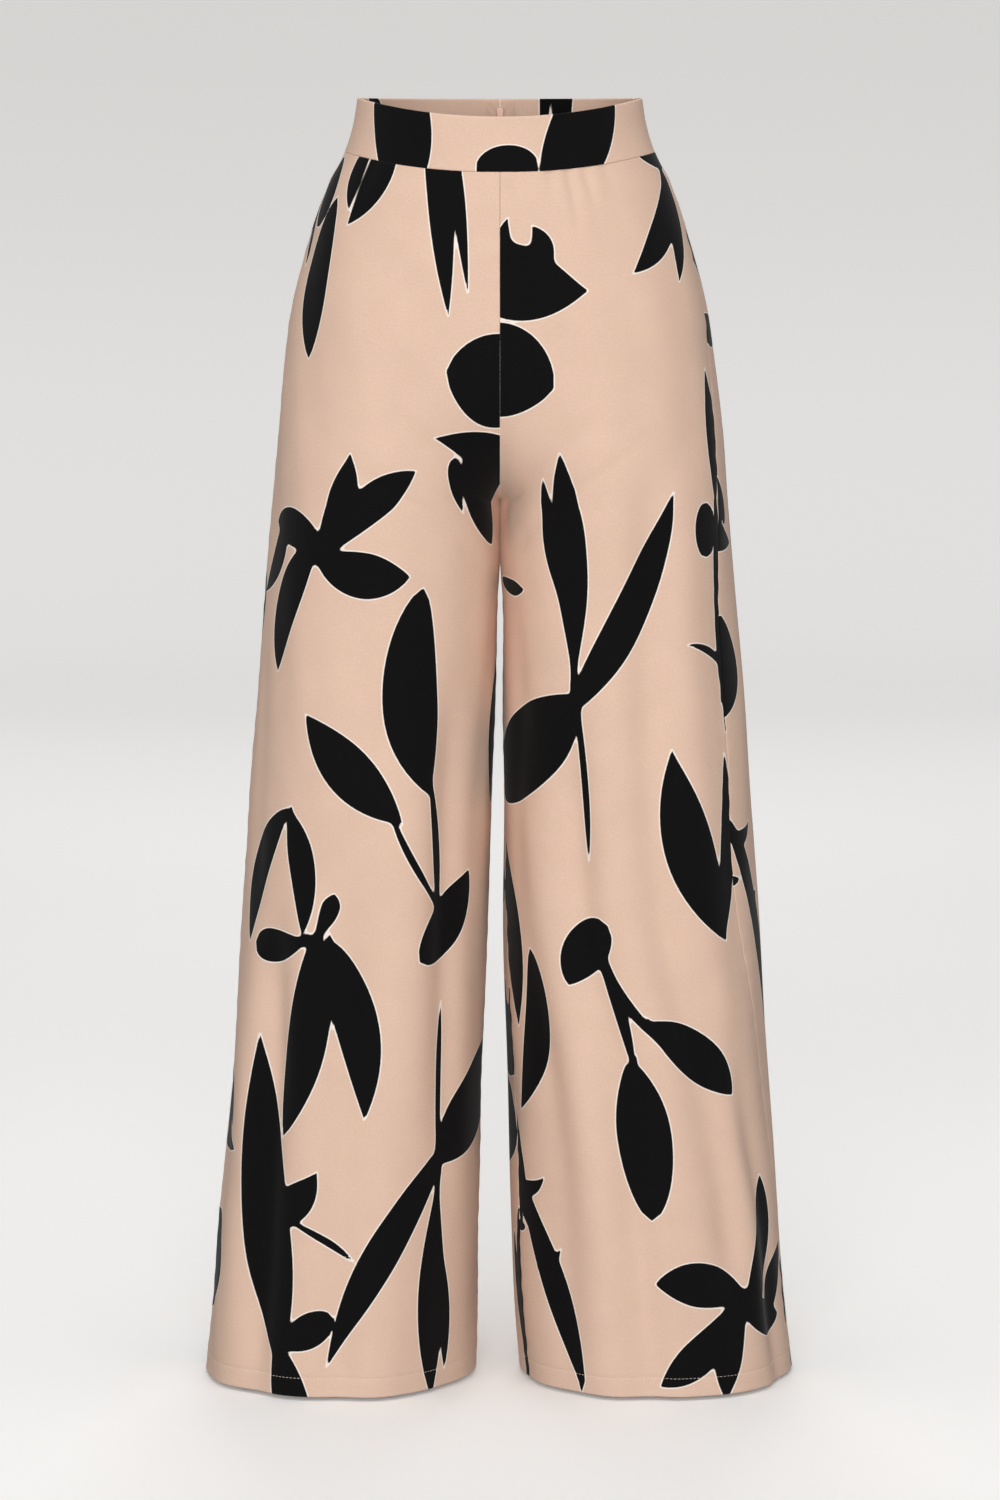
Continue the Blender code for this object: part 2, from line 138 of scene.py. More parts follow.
@lru_cache(maxsize=None)
def ring(sideName, height, part):
    # one row of the cloth round half the body, from the front edge to the back edge. part is 0
    # above the bend of the middle seam and 1 on the leg
    side = sides[sideName]
    section = sectionAt(height)
    space = max(section["space" + sideName.title()], form["seamGap"] / 2)
    halves = []
    for depth, turn in (("front", "frontTurn"), ("back", "backTurn")):
        reach, endHeight = middleSeam(section[depth], form[turn], part)
        endDrop = endHeight - height if 0 < part < 1 else 0.0
        halves.append(halfRow(section, space, section[depth], reach, endDrop))
    front, back = halves
    waist = smoothStep((height - form["riseBend"]) / (form["waistSeam"] - form["riseBend"]))
    dip = -form["frontDip"] * waist * (front[1] / section["front"]) ** 2
    x = np.concatenate([front[0][::-1], back[0][1:]])
    y = np.concatenate([-front[1][::-1], back[1][1:]])
    z = height + np.concatenate([(front[2] + dip)[::-1], back[2][1:]])
    along = lengthAlong(x, y, z)
    half = len(front[0]) - 1
    girth = along[-1]
    grainX = space + (section["outer"] - space) * section["flat"]
    if part < 1:
        crotch = sectionAt(form["crotch"])
        grainX = crotch["outer"] * crotch["flat"]
    frontGrain = np.interp(grainX, x[: half + 1], along[: half + 1])
    backGrain = np.interp(-grainX, -x[half:], along[half:])
    frontMark = section["innerLeft"] if sideName == "left" and part >= 1 else 0.0
    points = np.column_stack([side * x, y, z])
    if part >= 1:
        points = np.concatenate([points, points[1:half]])
        along = lengthAlong(*points.T)
    tangent = np.gradient(points[:, :2], axis=0)
    tangent /= np.linalg.norm(tangent, axis=1)[:, None]
    outward = side * np.column_stack([tangent[:, 1], -tangent[:, 0], 0 * tangent[:, 0]])
    sideMark = np.interp(half, np.arange(len(along)), along) - section["seam" + sideName.title()]
    return {
        "points": points, "outward": outward, "along": along, "girth": girth,
        "front": frontMark, "side": sideMark, "back": girth + frontMark,
        "frontGrain": frontGrain, "backGrain": backGrain, "closed": part >= 1,
    }


def readRing(row, marks):
    places = np.column_stack([np.interp(marks, row["along"], axis) for axis in row["points"].T])
    aims = np.column_stack([np.interp(marks, row["along"], axis) for axis in row["outward"].T])
    return places, aims / np.linalg.norm(aims, axis=1)[:, None]


# Folds, creases and the soft unevenness of hanging cloth

# The largest folds, by panel: a trough with a low ridge on one side of it. start and end say how
# far round the panel a fold runs at its top and its foot, from the front edge at 0 to the back
# edge at 1, and ridge is the ridge's side
folds = {
    "columns": "start end depth width top foot ridge",
    "ridgeShare": 0.38,
    "ridgeAway": 1.9,
    "ridgeWidth": 1.3,
    "fade": 150.0,
    "footStart": 0.2,
    "edge": 0.06,  # share of the panel's width over which a fold dies away at a seam
    "front_left": [
        (0.71, 0.70, -8.5, 20, -240, -1000, 1),
        (0.46, 0.42, -7.5, 18, -420, -1090, -1),
        (0.84, 0.87, -7.5, 17, -700, -1080, -1),
        (0.22, 0.20, -5.0, 19, -640, -1080, 1),
    ],
    "front_right": [
        (0.30, 0.27, -6.5, 18, -400, -860, 1),
        (0.56, 0.50, -7.5, 20, -540, -1090, -1),
        (0.74, 0.72, -9.0, 18, -580, -1070, 1),
    ],
    "back_left": [
        (0.30, 0.27, -8.0, 22, -330, -1090, 1),
        (0.58, 0.60, -9.0, 24, -420, -1090, -1),
        (0.83, 0.80, -6.5, 19, -560, -1090, 1),
    ],
    "back_right": [
        (0.26, 0.24, -7.5, 21, -480, -1090, -1),
        (0.52, 0.50, -9.0, 25, -340, -1090, 1),
        (0.78, 0.80, -7.5, 19, -520, -1090, -1),
    ],
}

# Smaller creases, by leg. start and end say how far round the whole leg, from the inner leg or
# the centre front at 0, over the side at 0.5, to the centre back at 1. sway is how far a crease
# wanders from its straight line
creases = {
    "columns": "start end depth width top foot sway",
    "fade": 120.0,
    "left": [
        (0.075, 0.10, -1.6, 15, -330, -700, 5),
        (0.20, 0.215, 1.4, 19, -360, -900, 6),
        (0.33, 0.345, -1.3, 13, -520, -1010, -5),
        (0.435, 0.42, 1.2, 17, -300, -760, 4),
        (0.27, 0.30, -1.0, 11, -850, -1080, 3),
        (0.13, 0.15, 1.2, 14, -760, -1080, -3),
        (0.53, 0.52, -1.5, 14, -600, -1080, 4),
        (0.62, 0.60, -1.8, 18, -260, -800, 6),
        (0.71, 0.73, 1.6, 17, -420, -980, -5),
        (0.80, 0.79, -1.2, 12, -700, -1080, 4),
        (0.90, 0.88, -1.6, 15, -360, -760, 4),
        (0.115, 0.110, -1.5, 4.5, 30, -66, 0.5),
        (0.150, 0.153, -2.0, 5.0, 30, -98, -0.6),
        (0.188, 0.196, -1.6, 5.5, 30, -82, 0.7),
        (0.235, 0.243, -1.0, 7.0, 30, -66, 0.5),
        (0.16, 0.02, -1.5, 13, -215, -345, 3),
        (0.26, 0.05, -1.0, 12, -235, -372, -3),
        (0.80, 0.97, -1.6, 15, -205, -360, 3),
    ],
    "right": [
        (0.06, 0.08, -1.4, 14, -340, -640, -4),
        (0.17, 0.15, 1.2, 18, -400, -860, 5),
        (0.24, 0.20, -1.2, 12, -700, -1080, 4),
        (0.36, 0.33, 1.4, 18, -300, -820, -6),
        (0.42, 0.41, -1.6, 14, -330, -700, 4),
        (0.45, 0.46, -1.2, 12, -760, -1080, -3),
        (0.56, 0.57, 1.3, 15, -520, -1080, 4),
        (0.66, 0.64, -1.8, 18, -300, -900, -6),
        (0.77, 0.79, 1.5, 16, -480, -1000, 5),
        (0.86, 0.88, -1.4, 14, -340, -720, -4),
        (0.31, 0.30, -1.0, 7.0, 30, -70, 0.5),
        (0.10, 0.105, -0.8, 6.0, 30, -60, -0.4),
        (0.17, 0.02, -1.4, 13, -220, -340, -3),
        (0.30, 0.07, -1.0, 13, -240, -380, 3),
        (0.82, 0.98, -1.7, 15, -210, -365, -3),
    ],
}

# Long soft waves over all of the cloth: wave lengths along x, y and z, height, and start
waves = [
    (190, 230, 620, 0.8, 0.4),
    (96, -130, 340, 0.4, 1.9),
    (62, 80, 870, 0.35, 3.3),
    (250, -150, 190, 0.4, 5.1),
    (44, -58, 150, 0.14, 2.2),
]

# The hem's flutter: how many waves go round a leg, height, and start on each leg
flutter = {"rise": 330.0, "rows": [(2, 1.5, 0.6, 2.9), (3, 1.3, 2.1, 4.4), (5, 0.9, 4.0, 1.2)]}

cloth = {
    "thickness": 0.9,
    "foldThickness": 2.2,  # the turned-up hem is doubled and pressed
    "hemDepth": 16.0,
    "roll": 0.7,  # radius of a pressed seam edge
    "sink": 0.35,  # how far the cloth sinks beside a seam
    "sinkReach": 3.0,
    "pucker": 0.22,
    "puckerReach": 9.0,
    "ripples": [(1.0, 3.1, 0.0), (0.8, 4.7, 1.3)],  # of the puckers: height, length, start
    "calm": (0.1, 90.0),  # share of the long waves at the band, and where they are at their full
    # where the cloth at the crotch is held: share of the seam's bend, down the leg, and across
    "crotchStart": 0.25,
    "crotchFade": 60.0,
    "crotchReach": 18.0,
    "step": 2.15,
    "firstEven": 3.0,  # the even rows begin so far under the top and under the hem's stitches
    "bendRows": 1.35,  # how much closer the rows lie on the bend of the middle seam
    "hemRows": 6,
    "frontColumns": 138,
    "backColumns": 143,
    "innerStep": 4,  # the inner face has a row for every fourth row of the outer face
}


def rowsOf(table, key):
    return [dict(zip(table["columns"].split(), row)) for row in table[key]]


def foldDepth(panel, across, heights, width):
    total = np.zeros_like(across)
    for fold in rowsOf(folds, panel):
        down = np.clip((fold["top"] - heights) / (fold["top"] - fold["foot"]), 0, 1)
        centre = fold["start"] + (fold["end"] - fold["start"]) * down
        away = (across - centre) * width / fold["width"]
        ridge = np.exp(-(((away - folds["ridgeAway"] * fold["ridge"]) / folds["ridgeWidth"]) ** 2))
        shape = np.exp(-(away**2)) - folds["ridgeShare"] * ridge
        shape *= smoothStep((fold["top"] - heights) / folds["fade"])
        shape *= smoothStep((heights - fold["foot"]) / folds["fade"] + folds["footStart"])
        total += fold["depth"] * shape
    return total * smoothStep(np.minimum(across, 1 - across) / folds["edge"])


def creaseDepth(leg, around, heights, girth, closed):
    total = np.zeros_like(around)
    for crease in rowsOf(creases, leg):
        long = crease["top"] - crease["foot"]
        down = np.clip((crease["top"] - heights) / long, 0, 1)
        away = around - crease["start"] - (crease["end"] - crease["start"]) * down
        if closed:
            away = away - np.round(away)
        away = away * girth - crease["sway"] * np.sin(2 * math.pi * down)
        fade = min(creases["fade"], long / 3)
        shape = np.exp(-((away / crease["width"]) ** 2))
        shape *= smoothStep((crease["top"] - heights) / fade)
        total += crease["depth"] * shape * smoothStep((heights - crease["foot"]) / fade)
    return total


def waveDepth(places):
    total = np.zeros(len(places))
    for x, y, z, high, start in waves:
        turns = places[:, 0] / x + places[:, 1] / y + places[:, 2] / z
        total += high * np.sin(2 * math.pi * turns + start)
    return total


def flutterDepth(leg, around, heights):
    total = np.zeros_like(around)
    for count, high, startLeft, startRight in flutter["rows"]:
        start = startLeft if leg == "left" else startRight
        total += high * np.sin(2 * math.pi * count * around + start)
    low = smoothStep((form["hem"] + flutter["rise"] - heights) / flutter["rise"])
    return total * low


def rolledIn(distance, radius):
    # how far the face has turned in at this distance from a pressed edge
    rest = radius - np.minimum(distance, radius)
    return radius - np.sqrt(np.maximum(radius**2 - rest**2, 0))


def puckering(distance, heights):
    ripple = sum(high * np.sin(heights / long + start) for high, long, start in cloth["ripples"])
    sunk = cloth["sink"] * np.exp(-distance / cloth["sinkReach"])
    return -sunk - cloth["pucker"] * np.exp(-distance / cloth["puckerReach"]) * ripple


def clothRow(face, leg, height, part, marksOf):
    # a row of a panel: its face as it hangs before edges are turned, its outward directions,
    # the distances from the two side edges, and where it lies on the flat cut
    row = ring(leg, height, part)
    gap = form["seamGap"] / 2
    if face == "front":
        ends = (row["front"] + (gap if part >= 1 else 0.0), row["side"] - gap)
    else:
        slit = zipParts["lips"] - gap if part == 0 and height > zipParts["foot"] else 0.0
        ends = (row["side"] + gap, row["back"] - (gap if part >= 1 else 0.0) - slit)
    marks = marksOf(*ends)
    width = ends[1] - ends[0]
    places, aims = readRing(row, marks)
    heights = places[:, 2]
    around = marks / row["girth"]
    edge = np.minimum(marks - ends[0], ends[1] - marks)
    moved = foldDepth(face + "_" + leg, (marks - ends[0]) / width, heights, width)
    moved += creaseDepth(leg, around, heights, row["girth"], row["closed"])
    least, below = cloth["calm"]
    waving = least + (1 - least) * smoothStep((form["waistSeam"] - height) / below)
    moved += waveDepth(places) * waving + flutterDepth(leg, around, heights)
    moved += puckering(edge, heights)
    if part > 0:
        # at the crotch the cloth stays on the middle plane, so the seam there doesn't gape
        middle = marks - ends[0] if face == "front" else ends[1] - marks
        held = smoothStep(part / cloth["crotchStart"])
        held *= smoothStep(1 - (form["crotch"] - height) / cloth["crotchFade"])
        held = held * (1 - smoothStep(middle / cloth["crotchReach"]))
        moved *= 1 - held
        edge = edge + cloth["roll"] * held
    grain = row["frontGrain"] if face == "front" else row["backGrain"]
    cut = np.column_stack([sides[leg] * (marks - grain), heights])
    return places + aims * moved[:, None], aims, edge, cut


def apart(places, leg):
    # keeps the two legs clear of each other
    side = sides[leg]
    places[..., 0] = side * np.maximum(side * places[..., 0], form["seamGap"] / 2)
    return places


# The print: cut-out leaves, each made of a few blades that run into one another

# A blade starts at x, y and runs at angle for its length. belly is where it is widest, bow how
# far it bends to its left, and base and tip how sharp its ends are: 1 is round, 2 a point and 3
# a thin point. stem is the least width from the base to the belly. The number before a motif's
# blades is the radius with which they run into one another
bladeColumns = "x y angle length width belly bow base tip stem"
bladeSteps = 22
motifs = {
    "needleCross": (3.0, [
        (-2, -6, 91, 206, 31, 0.60, -5, 4.4, 1.8, 6),
        (-7, 74, 98, 106, 14, 0.55, 2, 2.2, 1.7, 0),
        (-1, 20, -88, 152, 7, 0.66, 2, 1.2, 1.8, 5),
        (-8, -12, 61, 206, 30, 0.46, -10, 1.3, 2.0, 0),
        (4, 4, 213, 152, 68, 0.54, 8, 1.6, 1.0, 0),
    ]),
    "twinLeaf": (4.0, [
        (-15, 90, 95, 170, 48, 0.44, 13, 1.8, 1.3, 0),
        (2, -8, 99, 118, 10, 0.40, -3, 1.3, 1.5, 8),
        (-38, 68, 134, 122, 39, 0.50, 3, 1.9, 2.0, 0),
        (1, -2, 121, 96, 6, 0.45, 5, 1.3, 1.3, 5),
        (-18, -46, 51, 90, 40, 0.42, -6, 1.2, 1.7, 0),
    ]),
    "twinSprig": (4.0, [
        (-27, -22, 55, 62, 38, 0.58, 5, 1.6, 1.0, 0),
        (0, 4, -75, 98, 11, 0.40, 3, 1.2, 1.4, 9),
        (22, -80, -85, 136, 46, 0.48, 3, 1.7, 1.2, 11),
        (2, 0, -54, 86, 9, 0.40, -5, 1.2, 1.0, 8),
        (36, -50, -40, 102, 37, 0.54, 5, 1.9, 1.7, 7),
    ]),
    "crossSprig": (5.0, [
        (-2, -10, 73, 96, 26, 0.58, -5, 1.5, 2.2, 10),
        (2, -6, 43, 108, 29, 0.62, 6, 2.2, 1.9, 9),
        (-4, 0, -12, 84, 37, 0.56, -7, 1.8, 1.8, 8),
        (-4, 8, 251, 112, 33, 0.46, -12, 1.3, 1.8, 12),
        (2, 2, 162, 68, 30, 0.55, -7, 1.2, 1.5, 11),
        (-46, 22, 236, 70, 24, 0.36, 8, 1.1, 2.0, 0),
    ]),
    "archLeaf": (5.0, [
        (-16, 108, -112, 124, 29, 0.46, -14, 1.6, 1.7, 0),
        (-16, 108, -79, 104, 24, 0.42, 7, 1.8, 1.6, 8),
        (14, 4, 188, 66, 28, 0.72, 5, 3.0, 1.0, 9),
        (12, 0, 66, 44, 16, 0.74, -3, 3.0, 1.8, 5),
        (16, 8, -98, 172, 38, 0.52, 7, 1.5, 1.6, 11),
        (22, 4, -74, 156, 37, 0.44, 11, 1.4, 2.0, 12),
    ]),
    "tallLeaf": (4.5, [
        (-5, 6, 99, 280, 50, 0.38, 4, 2.0, 2.1, 10),
        (-9, 28, -72, 96, 32, 0.55, 0, 1.3, 1.2, 9),
        (-20, 132, 47, 56, 30, 0.40, -5, 1.2, 2.4, 0),
        (-4, 132, -30, 66, 6, 0.60, 2, 1.2, 1.6, 3),
        (-2, 25, 33, 48, 29, 0.55, 2, 1.5, 1.0, 8),
    ]),
    "splitRibbon": (3.0, [
        (-7, 0, 90, 190, 22, 0.58, 3, 1.9, 1.0, 0),
        (9, 18, 92, 170, 12, 0.60, 2, 1.9, 1.0, 0),
    ]),
    "drop": (3.0, [(0, 0, 80, 132, 33, 0.42, 7, 1.7, 1.4, 0)]),
    "wingPair": (4.0, [
        (0, 0, 60, 92, 27, 0.60, -6, 1.9, 1.1, 0),
        (0, 12, 66, 60, 15, 0.45, 7, 1.9, 1.4, 0),
    ]),
    "petal": (3.0, [(0, 0, 66, 62, 27, 0.5, -2, 1.0, 1.2, 0)]),
    "heartLeaf": (8.0, [
        (-44, 14, -15, 90, 76, 0.48, 3, 1.35, 1.45, 0),
    ]),
    "fish": (6.0, [
        (46, -24, 166, 108, 60, 0.56, 8, 2.2, 1.1, 0),
        (4, -8, 98, 36, 20, 0.36, -6, 1.1, 2.1, 0),
        (-18, -4, 94, 38, 14, 0.32, 4, 1.1, 2.1, 0),
    ]),
    "swallow": (5.0, [
        (-62, 42, -20, 98, 32, 0.62, 5, 2.2, 1.2, 0),
        (-44, 26, -74, 48, 13, 0.30, -3, 1.1, 2.2, 0),
        (-20, 42, -70, 96, 46, 0.34, -4, 1.0, 1.5, 0),
    ]),
    "splitTail": (5.0, [
        (18, 62, -123, 96, 27, 0.5, 9, 1.2, 2.0, 0),
        (14, 66, -90, 92, 22, 0.46, 6, 1.1, 2.0, 0),
        (-20, 74, -4, 56, 20, 0.6, 3, 1.8, 1.3, 0),
    ]),
    "moon": (3.0, [(0, 0, 80, 140, 34, 0.50, -15, 1.9, 1.3, 0)]),
    "broadLeaf": (3.0, [(0, 0, 73, 112, 58, 0.52, -4, 0.9, 1.1, 0)]),
    "pebble": (3.0, [(-25, 0, 4, 50, 38, 0.5, 2, 0.9, 0.9, 0)]),
    "blade": (3.0, [(0, 0, 93, 112, 20, 0.52, -4, 2.0, 2.1, 0)]),
    "thornStem": (3.5, [
        (-2, 0, 89, 206, 14, 0.45, 3, 1.8, 1.4, 6),
        (2, 50, 153, 54, 7, 0.45, -5, 1.2, 1.8, 4),
        (1, 66, 258, 42, 9, 0.4, 3, 1.2, 1.8, 0),
    ]),
    "branch": (4.0, [
        (34, -94, 112, 206, 25, 0.40, -11, 1.9, 1.6, 7),
        (-28, 70, 20, 34, 13, 0.3, -5, 1.1, 2.2, 0),
        (-24, 36, 168, 40, 9, 0.3, 4, 1.2, 2.0, 0),
        (-6, 6, 36, 30, 8, 0.3, -3, 1.2, 2.0, 0),
    ]),
    "sideLeaf": (4.0, [
        (2, 0, 106, 166, 44, 0.46, 10, 1.7, 2.2, 0),
        (0, 6, 86, 148, 20, 0.40, -5, 1.6, 1.8, 0),
    ]),
    "bud": (3.0, [(0, 0, 84, 44, 27, 0.52, 2, 0.8, 1.0, 0)]),
    "thorn": (3.0, [(0, 0, -6, 52, 13, 0.6, -2, 1.2, 2.0, 0)]),
}

# The repeat: each motif's place and turn, in degrees
printCloth = {
    "width": 760.0,
    "height": 1130.0,
    "outline": 1.05,
    "reach": 20.0,  # distances are kept up to here
    "columns": "motif x y turn",
    "rows": [
        ("crossSprig", 126, 716, 0),
        ("crossSprig", 621, 100, 180),
        ("twinLeaf", 246, 430, 0),
        ("twinSprig", 509, 386, 0),
        ("archLeaf", 125, 400, 0),
        ("tallLeaf", 134, 38, 0),
        ("needleCross", 261, 217, 180),
        ("needleCross", 498, 598, 0),
        ("splitRibbon", 240, 908, 0),
        ("drop", 104, 872, 0),
        ("wingPair", 144, 980, 0),
        ("petal", 92, 978, 0),
        ("heartLeaf", 275, 850, 0),
        ("heartLeaf", 446, 859, 0),
        ("fish", 470, 952, 0),
        ("swallow", 284, 768, 0),
        ("splitTail", 589, 960, 0),
        ("blade", 640, 752, 0),
        ("thornStem", 640, 568, 0),
        ("bud", 622, 712, 0),
        ("sideLeaf", 621, 398, 0),
        ("blade", 682, 322, 8),
        ("moon", 414, 252, 0),
        ("branch", 440, 118, 0),
        ("thorn", 396, 690, 0),
        ("moon", 356, 640, 180),
        ("drop", 352, 890, 200),
        ("sideLeaf", 370, 480, 180),
        ("branch", 50, 1040, 0),
        ("petal", 24, 640, 20),
        ("broadLeaf", 462, 1040, -7),
        ("broadLeaf", 340, 1042, 27),
        ("pebble", 426, 1057, 0),
        ("petal", 692, 1068, 0),
        ("broadLeaf", 160, 1044, 60),
        ("swallow", 4, 262, 180),
        ("splitRibbon", 350, 330, 200),
        ("bud", 18, 470, 150),
        ("wingPair", 340, 960, 200),
        ("heartLeaf", 20, 120, 90),
    ],
}

# Where each piece was cut from the printed cloth: the repeat's place at the piece's grain line
# and at the height of the origin
cutFrom = {
    "front_right": (180, 1060),
    "front_left": (540, 1060),
    "back_left": (270, 560),
    "back_right": (20, 1390),
    "waistband_front": (420, 1096),
    "waistband_back_left": (284, 958),
    "waistband_back_right": (588, 1096),
}


def bladeOutline(blade):
    t = np.linspace(0, 1, bladeSteps)
    before = np.clip((blade["belly"] - t) / blade["belly"], 0, 1)
    after = np.clip((t - blade["belly"]) / (1 - blade["belly"]), 0, 1)
    wide = (1 - before**2) ** (blade["base"] / 2) * (1 - after**2) ** (blade["tip"] / 2)
    half = blade["width"] / 2 * wide
    half = np.where(t < blade["belly"], np.maximum(half, blade["stem"] / 2), half)
    angle = math.radians(blade["angle"])
    ahead = np.array([math.cos(angle), math.sin(angle)])
    left = np.array([-ahead[1], ahead[0]])
    spine = np.outer(t * blade["length"], ahead) + np.outer(blade["bow"] * 4 * t * (1 - t), left)
    spine += (blade["x"], blade["y"])
    run = np.gradient(spine, axis=0)
    run /= np.linalg.norm(run, axis=1)[:, None]
    across = np.column_stack([-run[:, 1], run[:, 0]]) * half[:, None]
    return np.concatenate([spine + across, (spine - across)[-2:0:-1]])


def outlineDistance(places, outline):
    # signed distance to a closed outline, below 0 inside
    starts, ends = outline, np.roll(outline, -1, axis=0)
    run = ends - starts
    away = places[:, None, :] - starts
    share = np.clip((away * run).sum(axis=2) / np.maximum((run**2).sum(axis=1), 1e-9), 0, 1)
    gap = away - share[:, :, None] * run
    nearest = np.sqrt((gap**2).sum(axis=2).min(axis=1))
    rises = (starts[:, 1] > places[:, 1:]) != (ends[:, 1] > places[:, 1:])
    slope = run[:, 0] / np.where(np.abs(run[:, 1]) < 1e-9, 1e-9, run[:, 1])
    crossed = rises & (away[:, :, 0] < slope * away[:, :, 1])
    return np.where(crossed.sum(axis=1) % 2 == 1, -nearest, nearest)


def softUnion(first, second, radius):
    near = np.maximum(radius - np.abs(first - second), 0) / radius
    return np.minimum(first, second) - near * near * radius / 4


motifOutlines = {
    name: [bladeOutline(dict(zip(bladeColumns.split(), row))) for row in blades]
    for name, (radius, blades) in motifs.items()
}


def motifDistance(name, places):
    reach = printCloth["reach"]
    total = np.full(len(places), reach)
    for outline in motifOutlines[name]:
        low, high = outline.min(axis=0) - reach, outline.max(axis=0) + reach
        near = np.flatnonzero(((places > low) & (places < high)).all(axis=1))
        if len(near):
            found = outlineDistance(places[near], outline)
            total[near] = softUnion(total[near], found, motifs[name][0])
    return total


def printDistance(cut, piece):
    # signed distance to the nearest black shape of the print, at each place of the flat cut
    shape = cut.shape[:-1]
    places = cut.reshape(-1, 2) + cutFrom[piece]
    size = np.array([printCloth["width"], printCloth["height"]])
    reach = printCloth["reach"]
    total = np.full(len(places), reach)
    for name, x, y, turn in printCloth["rows"]:
        outline = np.concatenate(motifOutlines[name])
        radius = np.linalg.norm(outline, axis=1).max() + reach
        angle = math.radians(-turn)
        spin = np.array([[math.cos(angle), math.sin(angle)], [-math.sin(angle), math.cos(angle)]])
        first = np.floor((places.min(axis=0) - (x, y) - radius) / size).astype(int)
        last = np.ceil((places.max(axis=0) - (x, y) + radius) / size).astype(int)
        for column in range(first[0], last[0] + 1):
            for line in range(first[1], last[1] + 1):
                local = places - (x, y) - size * (column, line)
                near = np.flatnonzero((np.abs(local) < radius).all(axis=1))
                if len(near):
                    found = motifDistance(name, local[near] @ spin)
                    total[near] = np.minimum(total[near], found)
    return np.clip(total, -reach, reach).reshape(shape)


# Finishes

def linear(hexColour):
    channels = [int(hexColour[i : i + 2], 16) / 255 for i in (1, 3, 5)]
    return (*[c / 12.92 if c <= 0.04045 else ((c + 0.055) / 1.055) ** 2.4 for c in channels], 1.0)


def addNode(tree, kind, inputs=None, **settings):
    made = tree.nodes.new(kind)
    for name, value in settings.items():
        setattr(made, name, value)
    for place, value in (inputs or {}).items():
        if isinstance(value, bpy.types.NodeSocket):
            tree.links.new(value, made.inputs[place])
        else:
            made.inputs[place].default_value = value
    return made


def newFinish(name, **sockets):
    # a Principled material with even values for its sockets, and no other node yet
    material = bpy.data.materials.new(name)
    material.use_nodes = True
    tree = material.node_tree
    shader = tree.nodes["Principled BSDF"]
    for place, value in sockets.items():
        shader.inputs[place.replace("_", " ")].default_value = value
    return material, tree, shader


def mapRange(tree, value, low, high, atLow, atHigh, **settings):
    inputs = {0: value, 1: low, 2: high, 3: atLow, 4: atHigh}
    return addNode(tree, "ShaderNodeMapRange", inputs, **settings).outputs[0]


def noise(tree, place, size, detail):
    # size is in mm
    inputs = {"Vector": place, "Scale": 1 / (size * mm), "Detail": detail}
    return addNode(tree, "ShaderNodeTexNoise", inputs).outputs["Fac"]


def mixColours(tree, share, first, second):
    inputs = {0: share, 6: first, 7: second}
    return addNode(tree, "ShaderNodeMix", inputs, data_type="RGBA").outputs[2]


def multiply(tree, kind, first, second):
    return addNode(tree, kind, {0: first, 1: second}, operation="MULTIPLY").outputs[0]


def addBump(tree, shader, height, strength, distance):
    inputs = {"Height": height, "Strength": strength, "Distance": distance}
    bump = addNode(tree, "ShaderNodeBump", inputs)
    tree.links.new(bump.outputs[0], shader.inputs["Normal"])


def readAttribute(tree, name, output):
    return addNode(tree, "ShaderNodeAttribute", attribute_name=name).outputs[output]


def darker(colour, share):
    return [value * share for value in linear(colour)[:3]] + [1.0]


crepe = {
    "ground": "#E2C1AC",  # blush ground
    "ink": "#080708",  # black leaves, a little warm
    "outline": "#F6E9DE",  # cream line left between ink and ground
    "reverse": "#D9B8A4",
    "ghost": "#8E7468",  # the black shows through to the reverse as a dull brown
    "edge": 0.18,  # softness of the print's edges
    "pebble": 2.4,  # the crepe's pebble, drawn coarser than its real 0.5 mm so that it shows
    "mottle": 38.0,
    "bumpHeight": 0.0003,
    # the yarn's twist and the thick places along its crosswise threads, drawn coarser than they
    # are: size, how far they are drawn out, least and most brightness
    "yarn": [(1.5, 1.0, 0.955, 1.04), (1.4, 0.22, 0.98, 1.015)],
}


def clothFinish(name, reverse):
    # matt crepe: dull, slightly soft at grazing angles, with a fine uneven pebble
    material, tree, shader = newFinish(
        name, Roughness=0.85, IOR=1.46, Specular_IOR_Level=0.12,
        Sheen_Weight=0.05, Sheen_Roughness=0.45,
    )
    distance = readAttribute(tree, "printDistance", "Fac")
    place = readAttribute(tree, "clothPlace", "Vector")
    soft, wide = crepe["edge"], printCloth["outline"]
    inked = mapRange(tree, distance, -soft, soft, 1.0, 0.0)
    lined = mapRange(tree, distance, wide - soft, wide + soft, 1.0, 0.0)
    shade = mapRange(tree, noise(tree, place, crepe["mottle"], 3.0), 0.3, 0.7, 0.975, 1.02)
    for size, drawn, least, most in crepe["yarn"]:
        yarn = multiply(tree, "ShaderNodeVectorMath", place, (drawn, 1.0, 1.0))
        level = mapRange(tree, noise(tree, yarn, size, 2.0), 0.25, 0.75, least, most)
        shade = multiply(tree, "ShaderNodeMath", shade, level)
    keys = ("reverse", "reverse", "ghost") if reverse else ("ground", "outline", "ink")
    ground, line, ink = (linear(crepe[key]) for key in keys)
    printed = mixColours(tree, inked, mixColours(tree, lined, ground, line), ink)
    uneven = multiply(tree, "ShaderNodeVectorMath", printed, shade)
    tree.links.new(uneven, shader.inputs["Base Color"])
    addBump(tree, shader, noise(tree, place, crepe["pebble"], 4.0), 0.6, crepe["bumpHeight"])
    return material


